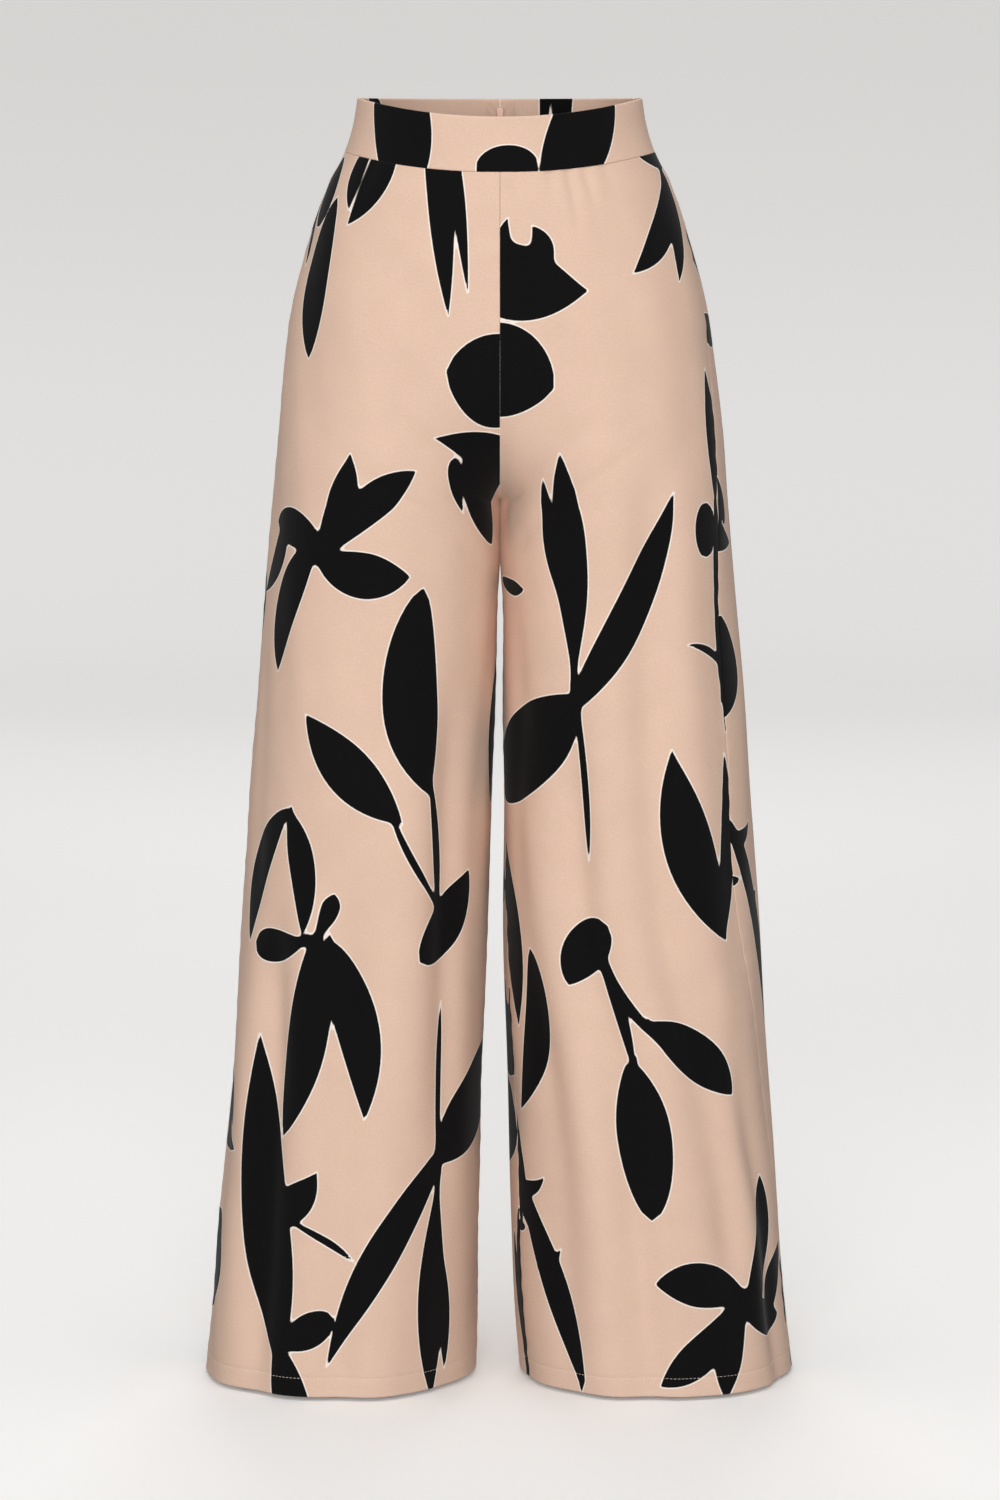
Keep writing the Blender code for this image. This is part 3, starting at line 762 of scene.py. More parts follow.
def wovenFinish(name, colour, rib):
    # a woven tape: ribs along it, dull
    material, tree, shader = newFinish(name, Roughness=0.82, IOR=1.46, Specular_IOR_Level=0.25)
    ribs = addNode(
        tree, "ShaderNodeTexWave",
        {
            "Vector": readAttribute(tree, "clothPlace", "Vector"),
            "Scale": 0.05 / (rib * mm), "Distortion": 0.6,
        },
        bands_direction="DIAGONAL",
    ).outputs["Fac"]
    shade = mixColours(tree, ribs, darker(colour, 0.93), linear(colour))
    tree.links.new(shade, shader.inputs["Base Color"])
    addBump(tree, shader, ribs, 0.5, 0.0001)
    return material


def plainFinish(name, colour, roughness, metallic, speckle):
    # an even finish whose colour varies by a few per cent
    material, tree, shader = newFinish(name, Roughness=roughness, IOR=1.5, Metallic=metallic)
    where = addNode(tree, "ShaderNodeTexCoord").outputs["Object"]
    share = noise(tree, where, speckle, 2.0)
    shade = mixColours(tree, share, darker(colour, 0.9), linear(colour))
    tree.links.new(shade, shader.inputs["Base Color"])
    return material


printedCrepe = clothFinish("printed crepe", False)
crepeReverse = clothFinish("crepe, reverse side", True)
tapeTwill = wovenFinish("woven zip tape", "#DFBEA9", 0.7)
coilNylon = plainFinish("nylon coil", "#BE9884", 0.42, 0.0, 3.0)  # smooth, small highlights
paintedZinc = plainFinish("painted zinc", "#B58F7C", 0.38, 0.25, 2.0)  # satin paint on metal
seamThread = plainFinish("polyester thread", "#EAD8C8", 0.6, 0.0, 1.0)  # a slight lustre


# Meshes

sharpFrom = 50  # degrees
# corners of the rectangles that a shell's faces, its rim, the band and its ends take up in the
# bake picture, and how far one rim or end is from the next
charts = {
    "outer": ((0.01, 0.01), (0.60, 0.99)),
    "inner": ((0.62, 0.01), (0.80, 0.99)),
    "rim": ((0.82, 0.01), (0.99, 0.04)),
    "rimStep": 0.05,
    "band": ((0.01, 0.05), (0.99, 0.80)),
    "bandEnd": ((0.02, 0.84), (0.2, 0.98)),
    "bandEndStep": 0.3,
}


def quadsOf(grid):
    corners = [grid[:-1, :-1], grid[:-1, 1:], grid[1:, 1:], grid[1:, :-1]]
    return np.stack(corners, axis=-1).reshape(-1, 4)


def addObject(name, data):
    made = bpy.data.objects.new(name, data)
    bpy.context.scene.collection.objects.link(made)
    return made


def addPiece(name, points, faces, corners, finishes, body, values=None, faceFinish=None):
    mesh = bpy.data.meshes.new(name)
    mesh.from_pydata(np.asarray(points) * mm, [], faces)
    for finish in finishes:
        mesh.materials.append(finish)
    if faceFinish is not None:
        mesh.polygons.foreach_set("material_index", faceFinish)
    if corners is not None:
        chart = mesh.uv_layers.new(name="OFBake")
        chart.data.foreach_set("uv", np.asarray(corners, np.float32).ravel())
    for key, value in (values or {}).items():
        value = np.asarray(value, np.float32)
        kind, field = ("FLOAT", "value") if value.ndim == 1 else ("FLOAT_VECTOR", "vector")
        mesh.attributes.new(key, kind, "POINT").data.foreach_set(field, value.ravel())
    mesh.shade_smooth()
    mesh.set_sharp_from_angle(angle=math.radians(sharpFrom))
    piece = addObject(name, mesh)
    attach(piece, body)
    return piece


def chartOf(rows, columns, name, up=0.0):
    # places of a grid's points in a rectangle of the bake picture
    (left, foot), (right, top) = charts[name]
    u, v = np.meshgrid(np.linspace(left, right, columns), np.linspace(top + up, foot + up, rows))
    return np.stack([u, v], axis=-1)


def facedOut(points, faces, corners, first, aim):
    # turns the faces over, with their places in the bake picture, if the first one looks inward
    corners = np.concatenate(corners)
    a, b, c = (points[i] for i in faces[first][:3])
    if np.dot(np.cross(b - a, c - b), aim) >= 0:
        return faces, corners
    ends = np.cumsum([len(face) for face in faces])
    blocks = np.split(corners, ends[:-1])
    return [face[::-1] for face in faces], np.concatenate([block[::-1] for block in blocks])


def shellPiece(name, outer, inner, kept, aim, cut, piece, finishes):
    # a closed thin shell: a fine outer face, a coarser inner face, and a rim between them
    rows, columns = outer.shape[:2]
    front = np.arange(rows * columns).reshape(rows, columns)
    rear = rows * columns + np.arange(len(kept) * columns).reshape(len(kept), columns)
    frontChart = chartOf(rows, columns, "outer").reshape(-1, 2)
    rearChart = chartOf(len(kept), columns, "inner").reshape(-1, 2)
    longest = max(rows, columns)
    strips = [chartOf(2, longest, "rim", charts["rimStep"] * i) for i in range(4)]
    faces = [list(face) for face in quadsOf(front)]
    faces += [list(face[::-1]) for face in quadsOf(rear)]
    corners = [frontChart[quadsOf(front)].reshape(-1, 2)]
    corners.append(rearChart[quadsOf(rear) - rows * columns][:, ::-1].reshape(-1, 2))
    for strip, row, order in ((strips[0], 0, 1), (strips[1], -1, -1)):
        near, far = front[row], rear[row]
        for j in range(columns - 1):
            rim = [near[j + 1], near[j], far[j], far[j + 1]]
            place = [strip[0, j + 1], strip[0, j], strip[1, j], strip[1, j + 1]]
            faces.append(rim[::order])
            corners.append(np.array(place[::order]))
    for strip, column, order in ((strips[2], 0, 1), (strips[3], columns - 1, -1)):
        for k in range(len(kept) - 1):
            run = list(range(kept[k], kept[k + 1] + 1))
            rim = [front[j, column] for j in run] + [rear[k + 1, column], rear[k, column]]
            place = [strip[0, j] for j in run] + [strip[1, run[-1]], strip[1, run[0]]]
            faces.append(rim[::order])
            corners.append(np.array(place[::order]))
    points = np.concatenate([outer.reshape(-1, 3), inner.reshape(-1, 3)])
    faces, corners = facedOut(points, faces, corners, 0, aim)
    faceFinish = np.zeros(len(faces), np.int32)
    if len(finishes) > 1:
        outerCount = len(quadsOf(front))
        faceFinish[outerCount : outerCount + len(quadsOf(rear))] = 1
    flat = np.concatenate([cut.reshape(-1, 2), cut[kept].reshape(-1, 2)])
    values = {"clothPlace": np.column_stack([flat * mm, np.zeros(len(flat))])}
    if piece:
        outerPrint = printDistance(cut, piece)
        values["printDistance"] = np.concatenate([outerPrint.ravel(), outerPrint[kept].ravel()])
    return addPiece(name, points, faces, corners, finishes, "garment", values, faceFinish)


# Leg panels

zipParts = {
    "hinge": 13.0,  # height of the pull tab's hinge
    "top": 19.0,
    "foot": -182.0,
    "lips": 0.2,  # half the space between the cloth edges that hide the zip
    "lipsAtCrown": 0.75,
    "crownReach": 3.4,  # how far above and below the crown the slit opens for it
    "tapeWidth": 12.0,
    "tapeWall": 0.8,
    "tapeDepth": 3.4,  # from the outer face of the cloth to the tape
    "tapePoints": (90, 12),
    "coilTop": 5.7,
    "coilDepth": 5.25,
    "coilHalf": 1.72,
    "coilRise": 0.47,
    "coilPitch": 1.35,
    "coilSteps": 14,
    "wire": 0.28,
    "wireSides": 6,
}
# points near a pressed edge lie at these distances from it, and the even ones begin after them
edgeSteps = np.array([0.0, 0.2, 0.5, 0.95, 1.6])
evenFrom = 2.6
hemFold = form["hem"] + cloth["hemDepth"]
# the groove that the hem's stitches draw into the cloth: depth, width, and rows beside it
groove = {"depth": 0.3, "width": 1.2, "row": 0.4}


def marksFor(columns):
    def marks(start, end):
        middle = np.linspace(start + evenFrom, end - evenFrom, columns)
        return np.concatenate([start + edgeSteps, middle, (end - edgeSteps)[::-1]])
    return marks


def panelRows():
    # height at the side, and share of the middle seam's bend, of each row
    step = cloth["step"]
    top = form["waistSeam"] - form["seamGap"]
    rise, crotch, hem = form["riseBend"], form["crotch"], form["hem"]
    even = top - cloth["firstEven"]
    body = np.linspace(even, rise, round((even - rise) / step), endpoint=False)
    bend = np.linspace(0, 1, round(cloth["bendRows"] * (rise - crotch) / step), endpoint=False)
    leg = np.linspace(crotch, hemFold + 1, round((crotch - hemFold - 1) / step))
    rows = [(top - e, 0.0) for e in edgeSteps] + [(z, 0.0) for z in body]
    rows += [(rise + (crotch - rise) * p, p) for p in bend]
    rows += [(z, 1.0) for z in leg]
    rows += [(hemFold + z, 1.0) for z in (groove["row"], 0, -groove["row"], -1)]
    turnUp = np.linspace(hemFold - cloth["firstEven"], hem + evenFrom, cloth["hemRows"])
    return rows + [(z, 1.0) for z in turnUp] + [(hem + e, 1.0) for e in edgeSteps[::-1]]


def keptRows(rows):
    beside = (hemFold + groove["row"], hemFold - groove["row"])
    kept = set(range(0, len(rows), cloth["innerStep"])) | {len(rows) - 1}
    kept |= {i for i, row in enumerate(rows) if row[0] in beside}
    return sorted(kept)


def panelPiece(face, leg):
    rows = panelRows()
    kept = keptRows(rows)
    top, hem = rows[0][0], form["hem"]
    outer, inner, cuts, facing = [], [], [], []
    for height, part in rows:
        marks = marksFor(cloth[face + "Columns"])
        places, aims, edge, cut = clothRow(face, leg, height, part, marks)
        turned = rolledIn(edge, cloth["roll"]) + rolledIn(top - height, cloth["roll"])
        turned += rolledIn(height - hem, cloth["foldThickness"] / 2)
        turned += groove["depth"] * math.exp(-(((height - hemFold) / groove["width"]) ** 2))
        thick = cloth["foldThickness"] if height < hemFold else cloth["thickness"]
        outer.append(places - aims * turned[:, None])
        inner.append(places - aims * thick)
        cuts.append(cut)
        facing.append(aims[0])
    outer = apart(np.array(outer), leg)
    inner = apart(np.array(inner)[kept], leg)
    piece = face + "_" + leg
    made = shellPiece(
        piece + "_cloth", outer, inner, kept, facing[0], np.array(cuts), piece,
        [printedCrepe, crepeReverse],
    )
    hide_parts(face + "_panel_" + leg)
    return made


for leg in sides:
    for face in ("front", "back"):
        panelPiece(face, leg)


# Waistband

band = {
    "wall": 2.4,
    "rows": 26,
    "edgeRows": 9,
    "step": 1.9,
    "innerRoll": 0.4,
    # stiffened cloth still waves a little: lengths along x, y and z, height, and how far it is in
    "waveLengths": (74.0, 90.0, 40.0),
    "waveHeight": 0.35,
    "waveIn": 0.1,
}


def bandProfile():
    # height and depth under the outer face, from the lower edge over the top to the lower edge
    top, low, radius = form["bandTop"], form["waistSeam"], band["wall"] / 2
    even = np.linspace(low + evenFrom, top - radius, band["rows"])
    rise = np.concatenate([low + edgeSteps, even])
    outer = [(z, rolledIn(z - low, cloth["roll"])) for z in rise]
    arc = np.linspace(math.pi, 0, band["edgeRows"] + 1)[1:-1]
    over = [(top - radius + radius * math.sin(a), radius + radius * math.cos(a)) for a in arc]
    inside = [(z, band["wall"] - rolledIn(z - low, band["innerRoll"])) for z in rise[::-1]]
    profile = outer + over + inside
    return profile if len(profile) % 2 == 0 else profile[:-1]


def bandWave(places):
    x, y, z = band["waveLengths"]
    turns = places[:, 0] / x + places[:, 1] / y
    return band["waveHeight"] * np.sin(2 * math.pi * turns + places[:, 2] / z) - band["waveIn"]


def bandRow(stretches, height, depth, counts):
    # one row of the band's face at a height and depth, and where it lies on the flat cut
    line, flat = [], []
    for leg, start, end, trims in stretches:
        row = ring(leg, height, 0.0)
        first, last = row[start] + trims[0], row[end] + trims[1]
        if end == "back":
            near = math.exp(-(((height - zipParts["hinge"]) / zipParts["crownReach"]) ** 4))
            last -= zipParts["lips"] + (zipParts["lipsAtCrown"] - zipParts["lips"]) * near
        # every row has as many points as the first one
        count = counts.setdefault(leg, round(abs(last - first) / band["step"]))
        marks = np.linspace(first, last, count)
        if leg == stretches[0][0]:
            steps = edgeSteps[:-1] if last > first else -edgeSteps[:-1]
            marks = np.concatenate([first + steps, marks[1:]])
        places, aims = readRing(row, marks)
        moved = bandWave(places)
        if depth < band["wall"] / 2:
            edge = np.maximum(np.abs(marks - row["side"]) - form["seamGap"] / 2, 0)
            moved = moved - rolledIn(edge, cloth["roll"])
        middle = row["girth"] if end == "back" else 0.0
        # two stretches share the point where they meet
        shared = 1 if line else 0
        line.extend((places + aims * (moved - depth)[:, None])[shared:])
        flat.extend(np.column_stack([sides[leg] * (marks - middle), places[:, 2]])[shared:])
    return line, flat


def bandPiece(name, stretches):
    counts = {}
    grid, cuts = zip(*[bandRow(stretches, *place, counts) for place in bandProfile()])
    grid, cuts = np.array(grid), np.array(cuts)
    rows, columns = grid.shape[:2]
    index = np.arange(rows * columns).reshape(rows, columns)
    chart = chartOf(rows + 1, columns, "band").reshape(-1, 2)
    chartIndex = np.arange((rows + 1) * columns).reshape(rows + 1, columns)
    faces = [list(face) for face in quadsOf(np.concatenate([index, index[:1]]))]
    corners = [chart[quadsOf(chartIndex)].reshape(-1, 2)]
    ends = chartOf(rows // 2, 2, "bandEnd")
    for end, (column, order) in enumerate(((0, 1), (columns - 1, -1))):
        for p in range(rows // 2 - 1):
            q = rows - 1 - p
            cap = [index[p, column], index[p + 1, column], index[q - 1, column], index[q, column]]
            place = np.array([ends[p, 0], ends[p + 1, 0], ends[p + 1, 1], ends[p, 1]])
            place[:, 0] += charts["bandEndStep"] * end
            faces.append(cap[::order])
            corners.append(place[::order])
    points = grid.reshape(-1, 3)
    first = (rows // 4) * (columns - 1)
    faces, corners = facedOut(points, faces, corners, first, points[faces[first][0]] * (1, 1, 0))
    values = {
        "clothPlace": np.column_stack([cuts.reshape(-1, 2) * mm, np.zeros(rows * columns)]),
        "printDistance": printDistance(cuts, name).ravel(),
    }
    made = addPiece(
        name + "_cloth", points, faces, corners, [printedCrepe], "garment", values
    )
    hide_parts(name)
    return made


gap = form["seamGap"] / 2
bandFront = bandPiece(
    "waistband_front", [("right", "side", "front", (-gap, 0)), ("left", "front", "side", (0, -gap))]
)
bandLeft = bandPiece("waistband_back_left", [("left", "side", "back", (gap, 0))])
bandRight = bandPiece("waistband_back_right", [("right", "side", "back", (gap, 0))])
print("waistband", sum(len(piece.data.vertices) for piece in (bandFront, bandLeft, bandRight)), "points")


# Hem stitches

stitches = {
    "above": 15.4,
    "margin": 3.0,
    "pitch": 3.3,
    "length": 2.5,
    "radius": 0.17,
    "thin": 0.35,  # share of the radius at a stitch's ends
    "low": -0.42,  # how far its ends lie in the cloth, and how far its middle stands up from them
    "rise": 0.30,
    "sides": 6,
    "rings": 5,
}


def hemStitches(leg):
    rings, around = stitches["rings"], stitches["sides"]
    share = np.linspace(0, 1, rings)
    swell = np.sqrt(np.maximum(1 - (2 * share - 1) ** 4, 0.02))
    angle = 2 * math.pi * np.arange(around)[:, None] / around
    up = np.array([0, 0, 1.0])

    def stitchMarks(start, end):
        count = int((end - start - 2 * stitches["margin"]) / stitches["pitch"])
        starts = start + stitches["margin"] + stitches["pitch"] * np.arange(count)
        return (starts[:, None] + stitches["length"] * share).ravel()

    points = []
    for face in ("front", "back"):
        height = form["hem"] + stitches["above"]
        places, aims, edge, cut = clothRow(face, leg, height, 1.0, stitchMarks)
        fat = np.tile(swell, len(places) // rings)[:, None]
        places = places + aims * (fat * stitches["rise"] + stitches["low"])
        out = aims[:, None] * np.cos(angle) + up * np.sin(angle)
        radius = stitches["radius"] * (stitches["thin"] + (1 - stitches["thin"]) * fat)
        points.append((places[:, None] + out * radius[:, None]).reshape(-1, 3))
    points = np.concatenate(points)
    index = np.arange(len(points)).reshape(-1, rings, around)
    loops = np.concatenate([index, index[..., :1]], axis=-1)
    faces = [list(face) for loop in loops for face in quadsOf(loop)]
    faces += [list(cap) for stitch in index for cap in (stitch[0, ::-1], stitch[-1])]
    if sides[leg] > 0:
        faces = [face[::-1] for face in faces]
    return addPiece("hem_stitches_" + leg, points, faces, None, [seamThread], "garment")


hems = {leg: hemStitches(leg) for leg in sides}
print("hem stitches", sum(len(piece.data.polygons) for piece in hems.values()), "faces")


# Zip: tapes, coil, slider and pull tab

def backFace(height):
    return sectionAt(height)["back"]


def tapePiece(leg):
    rows, columns = zipParts["tapePoints"]
    outer, inner, cuts = [], [], []
    for height in np.linspace(zipParts["top"], zipParts["foot"], rows):
        row = ring(leg, height, 0.0)
        marks = row["back"] - np.linspace(form["zipSlit"] / 2, zipParts["tapeWidth"], columns)
        places, aims = readRing(row, marks)
        outer.append(places - aims * zipParts["tapeDepth"])
        inner.append(places - aims * (zipParts["tapeDepth"] + zipParts["tapeWall"]))
        cuts.append(np.column_stack([marks - row["back"], places[:, 2]]))
    made = shellPiece(
        "zip_tape_" + leg + "_weave", np.array(outer), np.array(inner), list(range(rows)),
        np.array([0, 1.0, 0]), np.array(cuts), None, [tapeTwill],
    )
    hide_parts("zip_tape_" + leg)
    return made


def coilPiece():
    # one wire wound flat along the zip: its loops are the teeth
    wire, pitch, top = zipParts["wire"], zipParts["coilPitch"], zipParts["coilTop"]
    turns = int((top - zipParts["foot"] - 2 * wire) / pitch)
    angle = 2 * math.pi * np.arange(turns * zipParts["coilSteps"] + 1) / zipParts["coilSteps"]
    z = top - wire - pitch * angle / (2 * math.pi)
    depth = np.array([backFace(height) for height in z]) - zipParts["coilDepth"]
    x, y = zipParts["coilHalf"] * np.cos(angle), depth + zipParts["coilRise"] * np.sin(angle)
    path = np.column_stack([x, y, z])
    run = np.gradient(path, axis=0)
    run /= np.linalg.norm(run, axis=1)[:, None]
    first = np.cross(run, (0, 0, 1.0))
    first /= np.linalg.norm(first, axis=1)[:, None]
    second = np.cross(run, first)
    angle = 2 * math.pi * np.arange(zipParts["wireSides"])[:, None] / zipParts["wireSides"]
    out = first[:, None] * np.cos(angle) + second[:, None] * np.sin(angle)
    points = (path[:, None] + wire * out).reshape(-1, 3)
    index = np.arange(len(points)).reshape(len(path), -1)
    loop = np.concatenate([index, index[:, :1]], axis=1)
    faces = [list(face) for face in quadsOf(loop)] + [list(index[0][::-1]), list(index[-1])]
    made = addPiece("zip_coil_teeth", points, faces, None, [coilNylon], "garment")
    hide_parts("zip_coil")
    return made


def ringPlate(outline, hole, low, high):
    # a flat plate between two depths, from matching outlines round it and round its hole
    count = len(outline)
    points = [(a, depth, b) for depth in (low, high) for a, b in outline + hole]
    faces = []
    for i in range(count):
        j = (i + 1) % count
        faces.append([i, j, count + j, count + i])
        faces.append([2 * count + i, 3 * count + i, 3 * count + j, 2 * count + j])
        faces.append([i, 2 * count + i, 2 * count + j, j])
        faces.append([count + i, count + j, 3 * count + j, 3 * count + i])
    return points, faces


def solidPlate(outline, low, high):
    count = len(outline)
    points = [(x, depth, z) for depth in (low, high) for x, z in outline]
    faces = [list(range(count)), list(range(count, 2 * count))[::-1]]
    for i in range(count):
        j = (i + 1) % count
        faces.append([i, count + i, count + j, j])
    return points, faces


def block(sizes, height, low, high):
    half, foot, top = sizes[0], height + sizes[1], height + sizes[2]
    return solidPlate([(-half, foot), (half, foot), (half, top), (-half, top)], low, high)


bevelFrom = 40  # degrees


def addMetal(name, points, faces, body, edge, segments):
    # with its edges worn round
    made = addPiece(name, points, faces, None, [paintedZinc], body)
    change = made.modifiers.new("worn edges", "BEVEL")
    change.width = edge * mm
    change.segments = segments
    change.limit_method = "ANGLE"
    change.angle_limit = math.radians(bevelFrom)
    return made


zipPull = {
    "standOff": 1.35,  # from the cloth to the hinge's middle
    "length": 21.0,
    "half": 2.8,  # half the width at the round foot
    "wall": 1.2,
    "windowHalf": 1.3,
    "windowHeight": 3.0,
    "windowCorner": 5,  # 2 is an ellipse, and more is squarer
    "edge": (0.28, 3),  # the bevel's width and steps
    "steps": (26, 9),  # points down one side and round the foot
    # half the width at distances below the hinge
    "below": [-0.6, 1.5, 4.4, 6.4, 12.0, 18.2],
    "halves": [1.89, 2.1, 2.1, 1.7, 2.3, 2.8],
}


def pullHalfWidth(down):
    foot = zipPull["length"] - zipPull["half"]
    if down <= foot:
        return float(np.interp(down, zipPull["below"], zipPull["halves"]))
    return math.sqrt(max(zipPull["half"] ** 2 - (down - foot) ** 2, 0))


def onWindow(x, down, middle):
    # the window is a rounded rectangle, met along rays from its middle
    corner, halfHeight = zipPull["windowCorner"], zipPull["windowHeight"] / 2
    across, along = abs(x / zipPull["windowHalf"]), abs((down - middle) / halfHeight)
    reach = (across**corner + along**corner) ** (1 / corner)
    return x / reach, middle + (down - middle) / reach


def pullPiece():
    hinge, length, half = zipParts["hinge"], zipPull["length"], zipPull["half"]
    bar = zipPull["wall"] / 2
    centreY = backFace(hinge) + zipPull["standOff"]
    lean = math.atan2(backFace(hinge - length) - backFace(hinge), length)
    foot = length - half
    straightSteps, roundSteps = zipPull["steps"]
    curved = foot + half * np.sin(np.linspace(0, math.pi / 2, roundSteps))
    down = np.concatenate([np.linspace(-bar, foot - 0.2, straightSteps), curved])
    edge = [(pullHalfWidth(d), d) for d in down[:-1]]
    outline = edge + [(0.0, length)] + [(-x, d) for x, d in edge[::-1]] + [(0.0, -bar)]
    middle = bar + zipPull["windowHeight"] / 2
    window = [onWindow(x, d, middle) for x, d in outline]
    points, faces = ringPlate(outline, window, -bar, bar)
    leant = [
        (
            x,
            centreY + y * math.cos(lean) + d * math.sin(lean),
            hinge + y * math.sin(lean) - d * math.cos(lean),
        )
        for x, y, d in points
    ]
    made = addMetal("zip_pull_tab", leant, faces, "pull_tab", *zipPull["edge"])
    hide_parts("zip_pull")


zipSlider = {
    "foot": 6.0,
    "height": 9.0,
    "half": 3.2,
    # one side of the plates' outline: share of the half width, and the height above the foot
    "outline": [(0.72, 0.0), (0.8, 3.2), (1.0, 6.0), (0.96, 8.2), (0.3, 9.0)],
    "near": 4.7,  # depths of the two plates' inner faces under the cloth's face
    "far": 8.1,
    "plate": 0.9,
    # half the width of the post between the plates and of the stem through the slit, their foot
    # and top against the plates' top and against the hinge, and how far in they begin
    "post": (0.9, -3.6, -0.7, 0.4),
    "stem": (0.5, -1.4, 1.4, 0.6),
    "stemGap": 0.2,  # left to the crown's hole
    "crown": 2.1,
    "hole": 1.25,
    "crownWall": 1.0,
    "crownSteps": 40,
    "edge": (0.22, 2),
}


def sliderPiece():
    shape, hinge = zipSlider, zipParts["hinge"]
    face = backFace(hinge)
    near, far = face - shape["near"], face - shape["far"]
    foot, top = shape["foot"], shape["foot"] + shape["height"]
    right = [(shape["half"] * share, foot + up) for share, up in shape["outline"]]
    outline = right + [(-x, z) for x, z in right[::-1]]
    axis = face + zipPull["standOff"]
    turns = np.linspace(0, 2 * math.pi, shape["crownSteps"], endpoint=False)
    circles = [
        [(radius * math.cos(t), radius * math.sin(t)) for t in turns]
        for radius in (shape["crown"], shape["hole"])
    ]
    crown, crownFaces = ringPlate(*circles, -shape["crownWall"] / 2, shape["crownWall"] / 2)
    upright = [(depth, axis + a, hinge + b) for a, depth, b in crown]
    # two plates, the post between them, the stem through the slit, and the ring of the crown
    solids = [
        solidPlate(outline, near - shape["plate"], near),
        solidPlate(outline, far, far + shape["plate"]),
        block(shape["post"], top, far + shape["post"][3], near - shape["post"][3]),
        block(shape["stem"], hinge, near - shape["stem"][3], axis - shape["hole"] - shape["stemGap"]),
        (upright, [quad[::-1] for quad in crownFaces]),
    ]
    points, faces = [], []
    for some, theirs in solids:
        faces += [[len(points) + i for i in corners] for corners in theirs]
        points += some
    made = addMetal("zip_slider_body", points, faces, "garment", *shape["edge"])
    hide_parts("zip_slider")


tapes = [tapePiece(leg) for leg in sides]
coil = coilPiece()
sliderPiece()
pullPiece()
print("zip", len(coil.data.polygons), "faces in the coil")


# Cloth pieces as they were cut: width and length in metres of what shows, with the hem

flatCuts = {
    "front_left": (0.312, 1.016, 0.262),
    "front_right": (0.364, 1.016, 0.314),
    "back_left": (0.428, 1.016, 0.396),
    "back_right": (0.380, 1.016, 0.340),
}
for name, (width, length, area) in flatCuts.items():
    leg = name.split("_")[1]


# Studio: a round of pale paper, a broad soft light in front, and others overhead and behind

studio = {
    "floor": form["hem"] - 3.0,
    "wall": 7000.0,
    "bend": 1400.0,
    "top": 5000.0,
    "turns": 96,
    "floorRings": (0.001, 0.1, 0.25, 0.5, 0.75),
    "bendRings": 25,
    # painted shade: from the floor up to this height the paper's colour runs from the pale foot colour
    # to the light grey head colour, as if less light reached the top
    "paintedShadeFrom": 300.0,
    "foot": "#F8F7F6",
    "head": "#E8E7E5",
    # the paper's painted glow, light of its own though it is no lamp: two parts, each from one distance
    # to another, and its strength at both
    "paintedGlow": [(0.3, 2.2, 0.13, 0.02), (2.5, 5.0, 0.0, 0.39)],
    "camera": (0.0, -4.2, -0.012),  # metres
    "target": (0.0, 0.0, -0.515),
    "lens": 122.3,
    "sensor": 36.0,
    "world": 0.31,
    "worldColour": (1.0, 0.995, 0.985, 1.0),
}
# place and target in metres, size in metres, power in watts, and spread in degrees
lights = {
    "key": ((-0.2, -4.3, 0.15), (0, 0, -0.6), (1.8, 2.2), 27, 80),
    "overhead": ((0, -0.9, 2.8), (0, -0.8, -1), (3.6, 3.0), 45, 180),
    "rear": ((0, 3.4, 1.5), (0, 0, -0.5), (1.8, 1.2), 45, 180),
}


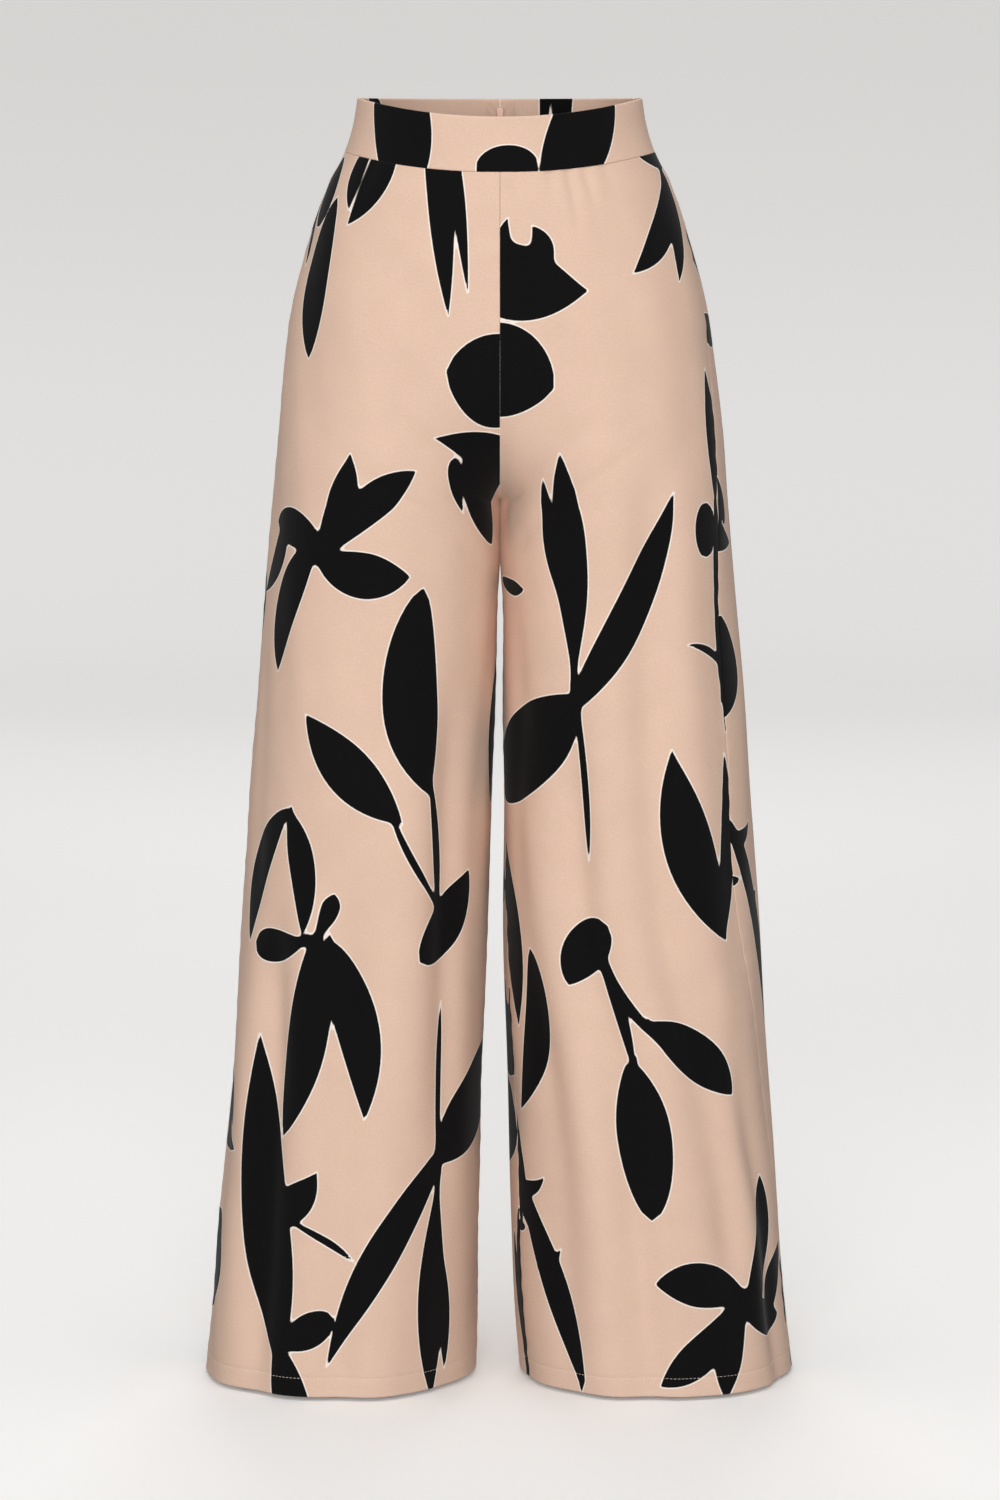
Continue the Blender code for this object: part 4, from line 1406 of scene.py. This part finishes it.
def paperFinish():
    # matt paper, pale at the foot and light grey at the top as painted shade, with a painted glow of its
    # own that brightens the floor near the cloth and the wall behind
    material, tree, shader = newFinish("studio paper", Roughness=0.9, Specular_IOR_Level=0.1)
    where = addNode(tree, "ShaderNodeTexCoord").outputs["Object"]
    height = addNode(tree, "ShaderNodeSeparateXYZ", {0: where}).outputs["Z"]
    flat = multiply(tree, "ShaderNodeVectorMath", where, (1.0, 1.0, 0.0))
    away = addNode(tree, "ShaderNodeVectorMath", {0: flat}, operation="LENGTH").outputs["Value"]
    smooth = {"interpolation_type": "SMOOTHSTEP"}
    # painted shade: the paper turns grey with height
    rise = mapRange(tree, height, studio["floor"] * mm, studio["paintedShadeFrom"] * mm, 0.0, 1.0, **smooth)
    shade = mixColours(tree, rise, linear(studio["foot"]), linear(studio["head"]))
    # painted glow: the paper gives light of its own, most on the floor near the cloth and far off on the
    # wall, though it is no lamp
    first, second = (mapRange(tree, away, *part, **smooth) for part in studio["paintedGlow"])
    paintedGlow = addNode(tree, "ShaderNodeMath", {0: first, 1: second}, operation="ADD").outputs[0]
    tree.links.new(shade, shader.inputs["Base Color"])
    tree.links.new(shade, shader.inputs["Emission Color"])
    tree.links.new(paintedGlow, shader.inputs["Emission Strength"])
    return material


def sweepPiece():
    # a round of studio paper: a flat floor that bends up into a wall on every side
    floor, bend = studio["floor"], studio["bend"]
    reach = studio["wall"] - bend
    profile = [(reach * share, floor) for share in studio["floorRings"]]
    profile += [
        (reach + bend * math.sin(a), floor + bend * (1 - math.cos(a)))
        for a in np.linspace(0, math.pi / 2, studio["bendRings"])
    ]
    profile.append((studio["wall"], studio["top"]))
    turns = np.linspace(0, 2 * math.pi, studio["turns"], endpoint=False)
    points = [(r * math.cos(a) * mm, r * math.sin(a) * mm, z * mm) for r, z in profile for a in turns]
    index = np.arange(len(points)).reshape(len(profile), -1)
    faces = quadsOf(np.column_stack([index, index[:, 0]])).tolist() + [index[0, ::-1].tolist()]
    mesh = bpy.data.meshes.new("sweep")
    mesh.from_pydata(points, [], faces)
    mesh.shade_smooth()
    mesh.materials.append(paperFinish())
    piece = addObject("sweep", mesh)
    piece.visible_diffuse = False  # the paper's painted glow doesn't flatten the light on the cloth


def aimed(thing, place, target):
    thing.location = place
    thing.rotation_euler = (Vector(target) - Vector(place)).to_track_quat("-Z", "Y").to_euler()


def addLight(name, place, target, size, power, spread):
    data = bpy.data.lights.new(name, "AREA")
    data.shape = "RECTANGLE"
    data.size, data.size_y = size
    data.energy = power
    data.spread = math.radians(spread)
    aimed(addObject(name, data), place, target)


sweepPiece()
for name, row in lights.items():
    addLight(name, *row)

world = bpy.data.worlds.new("studio")
world.use_nodes = True
background = world.node_tree.nodes["Background"]
background.inputs["Color"].default_value = studio["worldColour"]
background.inputs["Strength"].default_value = studio["world"]
bpy.context.scene.world = world
bpy.context.scene.view_settings.view_transform = "Standard"

cameraData = bpy.data.cameras.new("camera")
cameraData.lens = studio["lens"]
cameraData.sensor_width = studio["sensor"]
camera = addObject("camera", cameraData)
aimed(camera, studio["camera"], studio["target"])
bpy.context.scene.camera = camera
print("studio and camera")
